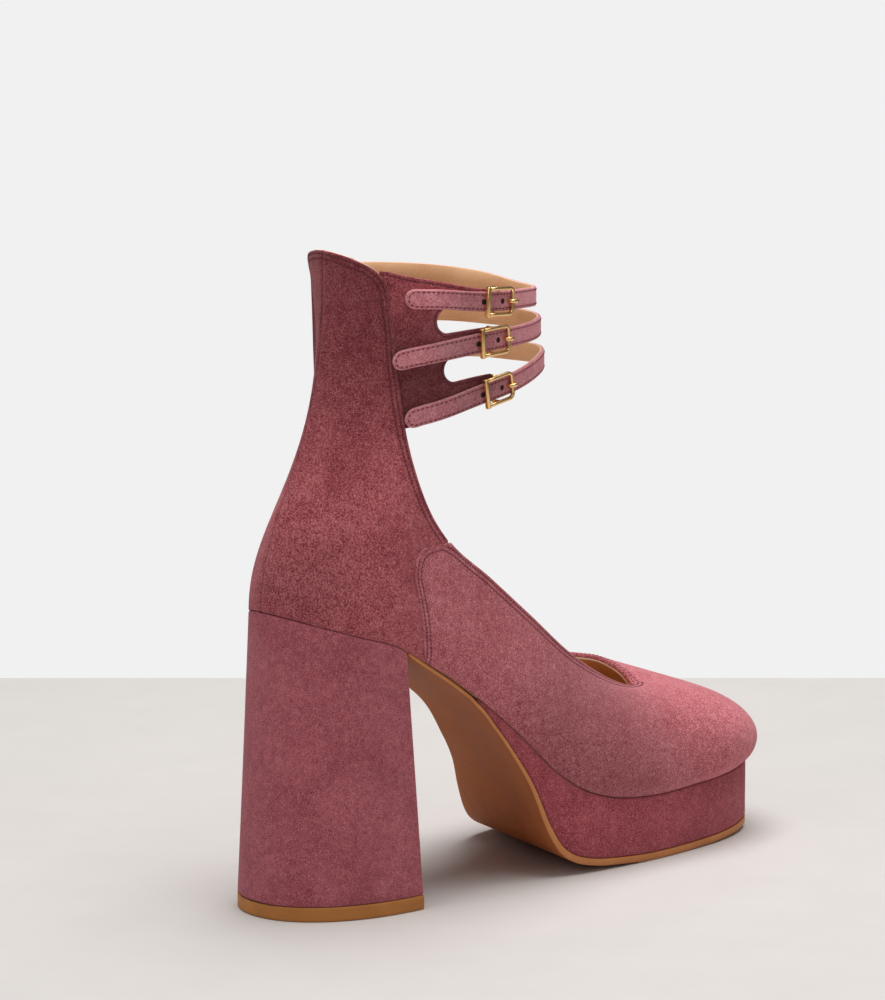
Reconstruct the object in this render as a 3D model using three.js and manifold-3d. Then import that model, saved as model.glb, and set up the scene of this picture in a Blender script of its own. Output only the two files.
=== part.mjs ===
// Platform pump with a high back and three buckled ankle straps, right foot.
// Millimetres. +X runs to the toe, +Y to the medial side, +Z up. The origin is on the floor,
// at the middle of the heel's bottom face.
import * as THREE from 'three';
import { mergeVertices } from 'three/addons/utils/BufferGeometryUtils.js';
import Module from 'manifold-3d';

const wasm = await Module();
wasm.setup();

// Driving sizes of the last
const shoeLength = 246;      // feather line, back of the heel seat to the toe
const heelSetback = 31;      // back of the heel seat behind the middle of the heel's bottom
const ballWidth = 82;        // feather line across the ball
const seatHeight = 118;      // floor to the back of the heel seat
const platformHeight = 26.5; // floor to the feather line at the ball
const toeSpring = 2.5;       // lift of the tread line at the toe
const archLift = 8;          // medial feather line above the lateral one at the waist
const instepRise = 52;       // feather line to the topline beside the waist
const collarRise = 135;      // heel seat to the top of the back
const ankleLength = 103;     // back of the collar to the front of the straps
const ankleWidth = 66;       // across the collar

// Thicknesses, clearances and trim sizes
const gap = 0.3;             // clearance between pieces that touch
const wall = 1.8;            // upper with its lining
const lapStep = 0.7;         // vamp standing proud where it laps over the quarter
const insoleThickness = 2.4;
const outsoleThickness = 2.9;
const topPieceThickness = 5.5;
const heelBottomLength = 55;
const heelBottomWidth = 71;
const cuffThickness = 1.6;
const cuffRecess = 0.9;      // cuff surface below the quarter that laps over it
const strapWidth = 7.6;
const strapThickness = 1.8;
const buckleLength = 16;
const buckleWidth = 11.4;
const buckleWire = 1.5;
const prongRadius = 0.7;

const toeX = shoeLength - heelSetback;
const alongFoot = share => share * shoeLength - heelSetback;
const clamp = THREE.MathUtils.clamp;
const lerp = THREE.MathUtils.lerp;
const point = (x, y, z) => new THREE.Vector3(x, y, z);

// Smooth curve through the rows of a table. One set of knots serves every column.
function throughRows(knots, values, at) {
  const last = knots.length - 1;
  let i = 0;
  while (i < last - 1 && at > knots[i + 1]) i++;
  const slope = j => {
    const a = Math.max(j - 1, 0);
    const b = Math.min(j + 1, last);
    if (a === j || b === j) return (values[b] - values[a]) / (knots[b] - knots[a]);
    const before = knots[j] - knots[a];
    const after = knots[b] - knots[j];
    const rise = (values[j] - values[a]) / before * after + (values[b] - values[j]) / after * before;
    return rise / (before + after);
  };
  const span = knots[i + 1] - knots[i];
  const t = (at - knots[i]) / span;
  const t2 = t * t;
  const t3 = t2 * t;
  return values[i] * (2 * t3 - 3 * t2 + 1) + slope(i) * span * (t3 - 2 * t2 + t)
    + values[i + 1] * (3 * t2 - 2 * t3) + slope(i + 1) * span * (t3 - t2);
}

// Bottom of the last from the side. share: along the shoe from the heel's back.
// drop: 1 at the back of the seat, 0 at the ball.
const bottomLine = [
  { share: 0.000, drop: 1.000 },
  { share: 0.050, drop: 0.950 },
  { share: 0.110, drop: 0.895 },
  { share: 0.180, drop: 0.830 },
  { share: 0.230, drop: 0.750 },
  { share: 0.300, drop: 0.632 },
  { share: 0.370, drop: 0.492 },
  { share: 0.430, drop: 0.350 },
  { share: 0.490, drop: 0.190 },
  { share: 0.540, drop: 0.092 },
  { share: 0.600, drop: 0.030 },
  { share: 0.680, drop: 0.000 },
  { share: 0.800, drop: 0.000 },
  { share: 1.000, drop: 0.000 },
];
const springStart = 0.76;
const springShare = x => clamp((x + heelSetback) / shoeLength - springStart, 0, 1) / (1 - springStart);
const spring = x => toeSpring * springShare(x) ** 2;

function bottomZ(x) {
  const at = clamp((x + heelSetback) / shoeLength, 0, 1);
  const drop = throughRows(bottomLine.map(r => r.share), bottomLine.map(r => r.drop), at);
  return platformHeight + drop * (seatHeight - platformHeight) + spring(x);
}

// Feather line in plan. lateral and medial: half widths as shares of the ball width.
const outline = [
  { share: 0.000, lateral: 0.000, medial: 0.000 },
  { share: 0.006, lateral: 0.083, medial: 0.083 },
  { share: 0.022, lateral: 0.165, medial: 0.165 },
  { share: 0.050, lateral: 0.242, medial: 0.242 },
  { share: 0.095, lateral: 0.312, medial: 0.312 },
  { share: 0.155, lateral: 0.352, medial: 0.350 },
  { share: 0.230, lateral: 0.364, medial: 0.340 },
  { share: 0.330, lateral: 0.371, medial: 0.285 },
  { share: 0.410, lateral: 0.388, medial: 0.272 },
  { share: 0.490, lateral: 0.425, medial: 0.350 },
  { share: 0.560, lateral: 0.458, medial: 0.460 },
  { share: 0.640, lateral: 0.474, medial: 0.518 },
  { share: 0.720, lateral: 0.476, medial: 0.526 },
  { share: 0.800, lateral: 0.456, medial: 0.492 },
  { share: 0.870, lateral: 0.425, medial: 0.425 },
  { share: 0.925, lateral: 0.366, medial: 0.335 },
  { share: 0.962, lateral: 0.289, medial: 0.250 },
  { share: 0.986, lateral: 0.185, medial: 0.160 },
  { share: 0.997, lateral: 0.090, medial: 0.078 },
  { share: 1.000, lateral: 0.000, medial: 0.000 },
];

// The outline is rounded at both ends, so its curve runs by distance, not by length.
const outlineKnots = [0];
for (let i = 1; i < outline.length; i++) {
  const dx = (outline[i].share - outline[i - 1].share) * shoeLength;
  const dy = (outline[i].lateral - outline[i - 1].lateral) * ballWidth;
  outlineKnots.push(outlineKnots[i - 1] + Math.hypot(dx, dy));
}
const outlineEnd = outlineKnots[outlineKnots.length - 1];

function outlineAt(distance) {
  const mirror = [-outlineKnots[1], ...outlineKnots, 2 * outlineEnd - outlineKnots[outlineKnots.length - 2]];
  const ends = column => [
    (column === 'share' ? 1 : -1) * outline[1][column],
    ...outline.map(r => r[column]),
    (column === 'share' ? 1 : -1) * outline[outline.length - 2][column],
  ];
  const read = column => throughRows(mirror, ends(column), distance);
  const [lateral, medial] = [ballWidth * read('lateral'), ballWidth * read('medial')];
  return { x: alongFoot(read('share')), lateral, medial };
}

// Distance along the outline table at which the outline reaches x
function outlineDistance(x) {
  let low = 0;
  let high = outlineEnd;
  for (let i = 0; i < 40; i++) {
    const middle = (low + high) / 2;
    if (outlineAt(middle).x < x) low = middle;
    else high = middle;
  }
  return (low + high) / 2;
}
function halfWidth(x, side) {
  const at = outlineAt(outlineDistance(clamp(x, -heelSetback, toeX)));
  return side < 0 ? at.lateral : at.medial;
}

// Height of the feather surface: the bottom line, tilted up to the medial side at the waist
function featherZ(x, y) {
  const at = (x + heelSetback) / shoeLength;
  const waist = Math.exp(-Math.pow((at - 0.41) / 0.12, 2));
  const across = clamp(0.5 + y / (0.7 * ballWidth), 0, 1);
  return bottomZ(x) + archLift * waist * across;
}

// Ankle oval. turn: degrees from the back seam, positive to the lateral side and 180 at the
// front. out: distance outside the quarter's surface.
const collarBack = 0.4;
function ankle(turn, z, out = 0) {
  const a = turn * Math.PI / 180;
  const halfLength = ankleLength / 2;
  const half = ankleWidth / 2;
  const normal = new THREE.Vector2(-Math.cos(a) * half, -Math.sin(a) * halfLength).normalize();
  const x = collarBack + halfLength * (1 - Math.cos(a)) + out * normal.x;
  return point(x, -half * Math.sin(a) + out * normal.y, z);
}

// Ribs of the upper, each a curve from the feather line up to the topline.
// foot: feather point, share of the shoe's length. top: topline point, share of the length.
// lateral, medial: its distance from the middle on either side, shares of the ball width.
// rise: its height over the bottom line, share of the instep rise. lift: extra on the medial side.
// out, up: handle at the feather line, outward and up. over, down: handle at the topline.
// Handles are shares of the rib's chord.
const vampRibs = [
  { foot: 1.000, top: 0.797, lateral: 0.000, medial: 0.000, rise: 0.672, lift: 0.00,
    out: 0.31, up: 0.24, over: 0.51, down: -0.01 },
  { foot: 0.970, top: 0.792, lateral: 0.042, medial: 0.052, rise: 0.682, lift: 0.08,
    out: 0.31, up: 0.26, over: 0.48, down: 0.00 },
  { foot: 0.895, top: 0.768, lateral: 0.100, medial: 0.122, rise: 0.704, lift: 0.160,
    out: 0.26, up: 0.30, over: 0.45, down: 0.05 },
  { foot: 0.780, top: 0.718, lateral: 0.180, medial: 0.198, rise: 0.774, lift: 0.155,
    out: 0.14, up: 0.38, over: 0.35, down: 0.11 },
  { foot: 0.660, top: 0.640, lateral: 0.262, medial: 0.250, rise: 0.906, lift: 0.080,
    out: 0.10, up: 0.37, over: 0.21, down: 0.23 },
  { foot: 0.560, top: 0.555, lateral: 0.310, medial: 0.285, rise: 1.040, lift: 0.02,
    out: 0.09, up: 0.35, over: 0.10, down: 0.32 },
  { foot: 0.470, top: 0.465, lateral: 0.334, medial: 0.310, rise: 1.060, lift: 0.00,
    out: 0.08, up: 0.35, over: 0.06, down: 0.35 },
  { foot: 0.375, top: 0.375, lateral: 0.341, medial: 0.325, rise: 1.010, lift: 0.00,
    out: 0.08, up: 0.35, over: 0.04, down: 0.35 },
  { foot: 0.285, top: 0.287, lateral: 0.341, medial: 0.335, rise: 1.040, lift: 0.00,
    out: 0.07, up: 0.35, over: 0.03, down: 0.35 },
  { foot: 0.222, top: 0.248, lateral: 0.332, medial: 0.330, rise: 1.200, lift: 0.00,
    out: 0.06, up: 0.34, over: 0.01, down: 0.36 },
];

// The same for the high back, whose topline lies on the ankle oval.
// turn: place on the oval, degrees. rise: height over the heel seat, share of the collar's rise.
const backRibs = [
  { foot: 0.170, turn: 52.9, rise: 0.455, out: 0.04, up: 0.32, over: -0.02, down: 0.38 },
  { foot: 0.122, turn: 46.8, rise: 0.660, out: 0.02, up: 0.31, over: -0.05, down: 0.46 },
  { foot: 0.088, turn: 43.5, rise: 0.835, out: 0.00, up: 0.31, over: -0.08, down: 0.53 },
  { foot: 0.070, turn: 41.0, rise: 0.918, out: 0.00, up: 0.31, over: -0.09, down: 0.56 },
  { foot: 0.052, turn: 35.5, rise: 0.950, out: 0.00, up: 0.31, over: -0.10, down: 0.58 },
  { foot: 0.026, turn: 23.5, rise: 0.980, out: 0.00, up: 0.31, over: -0.10, down: 0.60 },
  { foot: 0.007, turn: 11.0, rise: 0.995, out: 0.00, up: 0.31, over: -0.065, down: 0.59 },
  { foot: 0.000, turn: 0.0, rise: 1.000, out: 0.00, up: 0.31, over: -0.027, down: 0.585 },
];

// Four control points of one rib. side: -1 lateral, +1 medial.
function ribHandles(rib, side) {
  const distance = outlineDistance(alongFoot(rib.foot));
  const step = 0.2;
  const edge = d => {
    const at = outlineAt(d);
    return new THREE.Vector2(at.x, side * (side < 0 ? at.lateral : at.medial));
  };
  const here = edge(distance);
  const along = edge(distance + step).sub(edge(distance - step)).normalize();
  const normal = new THREE.Vector2(-side * along.y, side * along.x);
  const foot = point(here.x, here.y, featherZ(here.x, here.y));
  let top;
  if (rib.turn === undefined) {
    const x = alongFoot(rib.top);
    const y = side * (side < 0 ? rib.lateral : rib.medial) * ballWidth;
    const lift = side > 0 ? rib.lift : 0;
    top = point(x, y, bottomZ(x) + (rib.rise + lift) * instepRise);
  } else {
    top = ankle(-side * rib.turn, seatHeight + rib.rise * collarRise);
  }
  const chord = foot.distanceTo(top);
  const handle = (from, out, up) => point(
    from.x + normal.x * out * chord, from.y + normal.y * out * chord, from.z + up * chord);
  return { round: side < 0 ? outlineEnd - distance : outlineEnd + distance, foot,
    low: handle(point(0, 0, 0), rib.out, rib.up), high: handle(top, rib.over, -rib.down), top };
}

const halfRibs = [...vampRibs, ...backRibs];
const loop = [
  ...halfRibs.map(rib => ribHandles(rib, -1)),
  ...halfRibs.slice(1, -1).reverse().map(rib => ribHandles(rib, 1)),
];
// Knots round the shoe: the mean of the steps along the feather line and along the topline
const ribCount = loop.length;
const loopKnots = [0];
for (let i = 1; i <= ribCount; i++) {
  const now = loop[i % ribCount];
  const before = loop[i - 1];
  loopKnots.push(loopKnots[i - 1] + (now.foot.distanceTo(before.foot) + now.top.distanceTo(before.top)) / 2);
}
const loopLength = loopKnots[ribCount];
const wrapped = 2;
const ringKnots = [];
const ringRibs = [];
const ringRound = [];
for (let i = -wrapped; i <= ribCount + wrapped; i++) {
  const turns = Math.floor(i / ribCount);
  const rib = loop[i - turns * ribCount];
  ringKnots.push(loopKnots[i - turns * ribCount] + turns * loopLength);
  ringRound.push(rib.round + turns * 2 * outlineEnd);
  ringRibs.push(rib);
}
const ringColumns = {};
for (const part of ['low', 'high', 'top']) {
  ringColumns[part] = ['x', 'y', 'z'].map(axis => ringRibs.map(rib => rib[part][axis]));
}

// Point on the feather line. round: distance along it from the toe, lateral side first.
function featherPoint(round) {
  const side = round < outlineEnd ? -1 : 1;
  const at = outlineAt(side < 0 ? outlineEnd - round : round - outlineEnd);
  const y = side * (side < 0 ? at.lateral : at.medial);
  return point(at.x, y, featherZ(at.x, y));
}

// Outer surface of the upper. u: distance round the shoe from the toe, lateral side first.
// v: 0 at the feather line, 1 at the topline.
function lastSurface(u, v) {
  const around = ((u % loopLength) + loopLength) % loopLength;
  const w = 1 - v;
  const read = part => point(...ringColumns[part].map(values => throughRows(ringKnots, values, around)));
  const round = throughRows(ringKnots, ringRound, around);
  const at = featherPoint(clamp(round, 0, 2 * outlineEnd)).multiplyScalar(w * w * (w + 3 * v));
  at.addScaledVector(read('low'), 3 * w * w * v);
  at.addScaledVector(read('high'), 3 * w * v * v);
  return at.addScaledVector(read('top'), v * v * v);
}

function lastNormal(u, v) {
  const du = 0.5;
  const dv = 0.01;
  const alongU = lastSurface(u + du, v).sub(lastSurface(u - du, v));
  const alongV = lastSurface(u, Math.min(v + dv, 1)).sub(lastSurface(u, Math.max(v - dv, 0)));
  return alongV.cross(alongU).normalize();
}

// Outer surface moved out by a distance. At the feather line it moves within the feather surface,
// and at the rim of the high back it moves square to the ankle oval.
const rimStart = 0.44;       // share of the collar's rise
function upperPoint(u, v, out) {
  const at = lastSurface(u, v);
  const normal = lastNormal(u, v);
  if (v === 1 && at.z > seatHeight + rimStart * collarRise) {
    const half = ankleWidth / 2;
    const x = (at.x - collarBack) / (ankleLength / 2) - 1;
    normal.set(x / (ankleLength / 2), at.y / half / half, 0).normalize();
  }
  if (v === 0) {
    const slope = (featherZ(at.x + 1, at.y) - featherZ(at.x - 1, at.y)) / 2;
    const up = point(-slope, 0, 1).normalize();
    normal.addScaledVector(up, -normal.dot(up)).normalize();
  }
  return at.addScaledVector(normal, out);
}

// Closed mesh from points and faces: equal points are merged and empty faces dropped
function solidGeometry(points, faces) {
  const geometry = new THREE.BufferGeometry();
  const numbers = points.flatMap(p => [p.x, p.y, p.z]);
  geometry.setAttribute('position', new THREE.Float32BufferAttribute(numbers, 3));
  geometry.setIndex(faces.flat());
  const merged = mergeVertices(geometry, 1e-3);
  const index = Array.from(merged.index.array);
  const kept = [];
  for (let i = 0; i < index.length; i += 3) {
    const [a, b, c] = index.slice(i, i + 3);
    if (a !== b && b !== c && a !== c) kept.push(a, b, c);
  }
  merged.setIndex(kept);
  return merged;
}

// Solid between an upper and a lower grid of points. closed: the columns run round a ring.
function slab(rows, columns, upperAt, lowerAt, closed = false) {
  const points = [];
  for (const at of [upperAt, lowerAt]) {
    for (let i = 0; i <= rows; i++) {
      for (let j = 0; j <= columns; j++) points.push(at(i, closed ? j % columns : j));
    }
  }
  const layer = (rows + 1) * (columns + 1);
  const id = (side, i, j) => side * layer + i * (columns + 1) + j;
  const faces = [];
  const quad = (a, b, c, d) => faces.push([a, b, c], [a, c, d]);
  for (let i = 0; i < rows; i++) {
    for (let j = 0; j < columns; j++) {
      quad(id(0, i, j), id(0, i + 1, j), id(0, i + 1, j + 1), id(0, i, j + 1));
      quad(id(1, i, j), id(1, i, j + 1), id(1, i + 1, j + 1), id(1, i + 1, j));
    }
  }
  for (let j = 0; j < columns; j++) {
    quad(id(0, 0, j), id(0, 0, j + 1), id(1, 0, j + 1), id(1, 0, j));
    quad(id(0, rows, j), id(1, rows, j), id(1, rows, j + 1), id(0, rows, j + 1));
  }
  if (!closed) {
    for (let i = 0; i < rows; i++) {
      quad(id(0, i, 0), id(1, i, 0), id(1, i + 1, 0), id(0, i + 1, 0));
      quad(id(0, i, columns), id(0, i + 1, columns), id(1, i + 1, columns), id(1, i, columns));
    }
  }
  return outward(solidGeometry(points, faces));
}

// Turns the faces round where the solid's volume comes out negative
function outward(geometry) {
  const p = geometry.attributes.position;
  const index = geometry.index.array;
  const corner = [point(0, 0, 0), point(0, 0, 0), point(0, 0, 0)];
  let volume = 0;
  for (let i = 0; i < index.length; i += 3) {
    corner.forEach((c, k) => c.fromBufferAttribute(p, index[i + k]));
    volume += corner[0].dot(corner[1].clone().cross(corner[2]));
  }
  if (volume < 0) {
    for (let i = 0; i < index.length; i += 3) {
      const kept = index[i];
      index[i] = index[i + 1];
      index[i + 1] = kept;
    }
  }
  return geometry;
}

function toManifold(geometry) {
  const bare = geometry.clone();
  bare.deleteAttribute('normal');
  bare.deleteAttribute('uv');
  const merged = mergeVertices(bare, 1e-4);
  const mesh = new wasm.Mesh({
    numProp: 3,
    vertProperties: new Float32Array(merged.attributes.position.array),
    triVerts: new Uint32Array(merged.index.array),
  });
  return new wasm.Manifold(mesh);
}

function fromManifold(solid) {
  const mesh = solid.getMesh();
  const geometry = new THREE.BufferGeometry();
  geometry.setAttribute('position', new THREE.Float32BufferAttribute(mesh.vertProperties, 3));
  geometry.setIndex(Array.from(mesh.triVerts));
  return geometry;
}

const pump = new THREE.Group();
const suede = new THREE.MeshStandardMaterial({ color: 0x9c5560, roughness: 0.95 });
const lightSuede = new THREE.MeshStandardMaterial({ color: 0xa9636f, roughness: 0.95 });
const nudeLeather = new THREE.MeshStandardMaterial({ color: 0xd9a878, roughness: 0.6 });
const tanLeather = new THREE.MeshStandardMaterial({ color: 0xa8703f, roughness: 0.5 });
const gold = new THREE.MeshStandardMaterial({ color: 0xe0b45c, roughness: 0.25, metalness: 1 });

function add(name, geometry, material) {
  const mesh = new THREE.Mesh(geometry, material);
  mesh.name = name;
  pump.add(mesh);
  return mesh;
}

// Upper: one hollow wall round the last, open at the throat and collar and underneath
const upperRows = 7;
const columnsPerRib = 3;
function upper() {
  const places = [];
  for (let i = 0; i < ribCount; i++) {
    for (let k = 0; k < columnsPerRib; k++) {
      places.push(lerp(loopKnots[i], loopKnots[i + 1], k / columnsPerRib));
    }
  }
  const at = out => (i, j) => upperPoint(places[j], i / upperRows, out);
  const shell = (outer, inner) => toManifold(slab(upperRows, places.length, at(outer), at(inner), true));
  return fromManifold(shell(0, -wall).add(shell(lapStep, -wall / 2).intersect(vampPrism())));
}

// Seam where the vamp laps over the quarter, from the topline down to the feather line.
// share: along the shoe. rise: height over the heel seat, share of the instep rise.
const vampSeam = [
  { share: 0.300, rise: 0.404 },
  { share: 0.267, rise: 0.432 },
  { share: 0.249, rise: 0.423 },
  { share: 0.230, rise: 0.394 },
  { share: 0.218, rise: 0.343 },
  { share: 0.212, rise: 0.268 },
  { share: 0.210, rise: 0.186 },
  { share: 0.2135, rise: 0.090 },
  { share: 0.218, rise: -0.050 },
  { share: 0.222, rise: -0.170 },
  { share: 0.225, rise: -0.310 },
  { share: 0.227, rise: -0.400 },
  { share: 0.228, rise: -0.900 },
];
function vampPrism() {
  const seamPoint = row => new THREE.Vector2(alongFoot(row.share), seatHeight + row.rise * instepRise);
  const edge = vampSeam.map(seamPoint);
  edge[0].x = toeX + ballWidth;
  const last = edge[edge.length - 1];
  edge.push(new THREE.Vector2(last.x, 0), new THREE.Vector2(edge[0].x, 0));
  edge.splice(1, 0, new THREE.Vector2(alongFoot(vampSeam[0].share), edge[0].y));
  const depth = 2 * ballWidth;
  const prism = new THREE.ExtrudeGeometry(new THREE.Shape(edge), { depth, bevelEnabled: false });
  prism.rotateX(Math.PI / 2);
  prism.translate(0, depth / 2, 0);
  return toManifold(prism);
}

// Lines across the foot, from the lateral edge to the medial edge, where the outsole's upper
// face runs. lateral, medial: shares of the shoe's length. level: 1 where the platform starts
// under the waist, 0 on the tread. Rows with no level follow the feather surface.
const treadRows = [
  { lateral: 0.1985, medial: 0.1985 },
  { lateral: 0.238, medial: 0.245 },
  { lateral: 0.275, medial: 0.292 },
  { lateral: 0.308, medial: 0.345 },
  { lateral: 0.338, medial: 0.394, level: 1.000 },
  { lateral: 0.377, medial: 0.447, level: 0.846 },
  { lateral: 0.406, medial: 0.484, level: 0.723 },
  { lateral: 0.439, medial: 0.520, level: 0.561 },
  { lateral: 0.459, medial: 0.541, level: 0.440 },
  { lateral: 0.480, medial: 0.561, level: 0.280 },
  { lateral: 0.505, medial: 0.583, level: 0.138 },
  { lateral: 0.534, medial: 0.608, level: 0.066 },
  { lateral: 0.575, medial: 0.640, level: 0.030 },
  { lateral: 0.620, medial: 0.675, level: 0.014 },
  { lateral: 0.665, medial: 0.705, level: 0.004 },
  { lateral: 0.705, medial: 0.735, level: 0.000 },
  { lateral: 0.780, medial: 0.795, level: 0.000 },
  { lateral: 0.850, medial: 0.857, level: 0.000 },
  { lateral: 0.905, medial: 0.908, level: 0.000 },
  { lateral: 0.945, medial: 0.946, level: 0.000 },
  { lateral: 0.975, medial: 0.975, level: 0.000 },
  { lateral: 0.992, medial: 0.992, level: 0.000 },
  { lateral: 1.000, medial: 1.000, level: 0.000 },
];
const platformRow = treadRows.findIndex(row => row.level !== undefined);
const platformEdge = 0.6;    // thickness of the platform's wedge where it starts
const treadColumns = 6;

// The platform and outsole stand out a little under the toe
const toeReach = 1.6;
const reachStart = 0.85;
const reachAt = x => THREE.MathUtils.smoothstep((x + heelSetback) / shoeLength, reachStart, 1);

// Point of the outsole's upper face. row: place in the table, which may lie between two rows.
const treadKnots = treadRows.map((row, i) => i);
const levels = treadRows.map(row => row.level ?? 1);
const treadShare = (side, row) => throughRows(treadKnots, treadRows.map(r => r[side]), row);
function acrossFoot(row, s) {
  const ends = [-1, 1].map(side => {
    const x = alongFoot(treadShare(side < 0 ? 'lateral' : 'medial', row));
    return new THREE.Vector2(x + toeReach * reachAt(x), side * halfWidth(x, side));
  });
  return ends[0].lerp(ends[1], s);
}
const startAt = (_, j) => acrossFoot(platformRow, j / treadColumns);
const startAcross = Array.from({ length: treadColumns + 1 }, startAt);
function treadPoint(row, j) {
  const at = acrossFoot(row, j / treadColumns);
  if (row < platformRow) {
    const thin = row / platformRow * (gap + platformEdge);
    return point(at.x, at.y, featherZ(at.x, at.y) - gap - thin);
  }
  const start = startAcross[j];
  const startZ = featherZ(start.x, start.y) - 2 * gap - platformEdge;
  const z = lerp(outsoleThickness + spring(at.x), startZ, throughRows(treadKnots, levels, row));
  return point(at.x, at.y, Math.min(z, featherZ(at.x, at.y) - 2 * gap - platformEdge));
}
const stepsPerRow = 2;

function platform() {
  const rows = (treadRows.length - 1 - platformRow) * stepsPerRow;
  const row = i => platformRow + i / stepsPerRow;
  const above = (i, j) => {
    const at = treadPoint(row(i), j);
    return point(at.x, at.y, featherZ(at.x, at.y) - gap);
  };
  const below = (i, j) => treadPoint(row(i), j).add(point(0, 0, gap));
  return slab(rows, treadColumns, above, below);
}

// Outsole: a bend of leather under the waist, down the platform and to the toe, thinner at the waist
const waistThickness = 1.6;
const thinUpTo = 5;          // rows of the tread table between which it grows thicker
const thickFrom = 11;
function outsole() {
  const rows = (treadRows.length - 1) * stepsPerRow;
  const row = i => i / stepsPerRow;
  const onTop = (i, j) => treadPoint(row(i), j);
  const under = (i, j) => {
    const at = onTop(i, j);
    const before = onTop(Math.max(i - 1, 0), j);
    const after = onTop(Math.min(i + 1, rows), j);
    const run = new THREE.Vector2(after.x - before.x, after.z - before.z).normalize();
    if (at.z <= outsoleThickness + spring(at.x) + gap) return point(at.x, at.y, spring(at.x));
    const thicker = THREE.MathUtils.smoothstep(row(i), thinUpTo, thickFrom);
    const thickness = lerp(waistThickness, outsoleThickness, thicker);
    const back = clamp(i / stepsPerRow, 0, 1) * run.y * thickness;
    return point(at.x + back, at.y, Math.max(at.z - run.x * thickness, 0));
  };
  return slab(rows, treadColumns, onTop, under);
}

// Heel: a block from the seat down to its bottom, deeper and wider at the floor
const breast = 0.196;        // front face of the heel at the seat, share of the shoe's length
const heelSteps = 24;
const heelLevels = 4;
const heelBackShare = 0.63;  // part of the heel's bottom length behind the origin
const heelSquareness = 2.15;
function heelTop(k) {
  const side = k < heelSteps / 2 ? -1 : 1;
  const t = Math.abs(2 * k / heelSteps - 1);
  const at = outlineAt(t * outlineDistance(alongFoot(breast)));
  const y = side * (side < 0 ? at.lateral : at.medial);
  return point(at.x, y, featherZ(at.x, y) - gap);
}
function heelFoot(k, z) {
  const a = Math.PI * k / heelSteps;
  const reach = power => Math.sign(power) * Math.pow(Math.abs(power), 2 / heelSquareness);
  const front = heelBottomLength * (1 - heelBackShare);
  return point(front - heelBottomLength * reach(Math.sin(a)), -heelBottomWidth / 2 * reach(Math.cos(a)), z);
}
function heel() {
  const low = topPieceThickness + gap;
  const shell = (i, k) => {
    const from = heelFoot(k, low);
    const to = heelTop(k);
    return from.lerp(to, i / heelLevels);
  };
  return fanSolid(heelLevels, heelSteps, shell);
}
function topPiece() {
  return fanSolid(1, heelSteps, (i, k) => heelFoot(k, i * topPieceThickness));
}

// Solid of stacked outlines that are open along a straight front face
function fanSolid(levels, steps, shell) {
  const across = (i, k) => {
    const near = shell(i, k);
    const far = shell(i, steps - k);
    return [near, far];
  };
  const half = steps / 2;
  const cells = 4;
  const at = i => (k, j) => {
    const [near, far] = across(i, k);
    return near.lerp(far, j / cells);
  };
  const points = [];
  const faces = [];
  const quad = (a, b, c, d) => faces.push([a, b, c], [a, c, d]);
  const size = (half + 1) * (cells + 1);
  for (let i = 0; i <= levels; i++) {
    for (let k = 0; k <= half; k++) {
      for (let j = 0; j <= cells; j++) points.push(at(i)(k, j));
    }
  }
  const id = (i, k, j) => i * size + k * (cells + 1) + j;
  for (let k = 0; k < half; k++) {
    for (let j = 0; j < cells; j++) {
      quad(id(levels, k, j), id(levels, k + 1, j), id(levels, k + 1, j + 1), id(levels, k, j + 1));
      quad(id(0, k, j), id(0, k, j + 1), id(0, k + 1, j + 1), id(0, k + 1, j));
    }
  }
  for (let i = 0; i < levels; i++) {
    for (let k = 0; k < half; k++) {
      quad(id(i, k, 0), id(i, k + 1, 0), id(i + 1, k + 1, 0), id(i + 1, k, 0));
      quad(id(i, k, cells), id(i + 1, k, cells), id(i + 1, k + 1, cells), id(i, k + 1, cells));
    }
    for (let j = 0; j < cells; j++) {
      quad(id(i, 0, j), id(i + 1, 0, j), id(i + 1, 0, j + 1), id(i, 0, j + 1));
    }
  }
  return outward(solidGeometry(points, faces));
}

// Insole board inside the wall, on the feather surface
const insoleRows = 40;
const insoleColumns = 4;
const insoleLift = 0.1;
function insole() {
  const inset = wall + gap + 0.4;
  const edge = (d, side) => {
    const at = outlineAt(d);
    return new THREE.Vector2(at.x, side * (side < 0 ? at.lateral : at.medial));
  };
  const board = height => (i, j) => {
    const share = i / insoleRows;
    const d = outlineEnd * (share - 0.6 * Math.sin(2 * Math.PI * share) / (2 * Math.PI));
    const ends = [-1, 1].map(side => {
      const here = edge(d, side);
      const along = edge(d + 0.2, side).sub(edge(d - 0.2, side)).normalize();
      const inward = new THREE.Vector2(side * along.y, -side * along.x);
      const moved = here.addScaledVector(inward, inset);
      if (side * moved.y < 0) moved.y = 0;
      return moved;
    });
    const at = ends[0].lerp(ends[1], j / insoleColumns);
    return point(at.x, at.y, featherZ(at.x, at.y) + height);
  };
  return slab(insoleRows, insoleColumns, board(insoleLift + insoleThickness), board(insoleLift));
}

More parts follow.
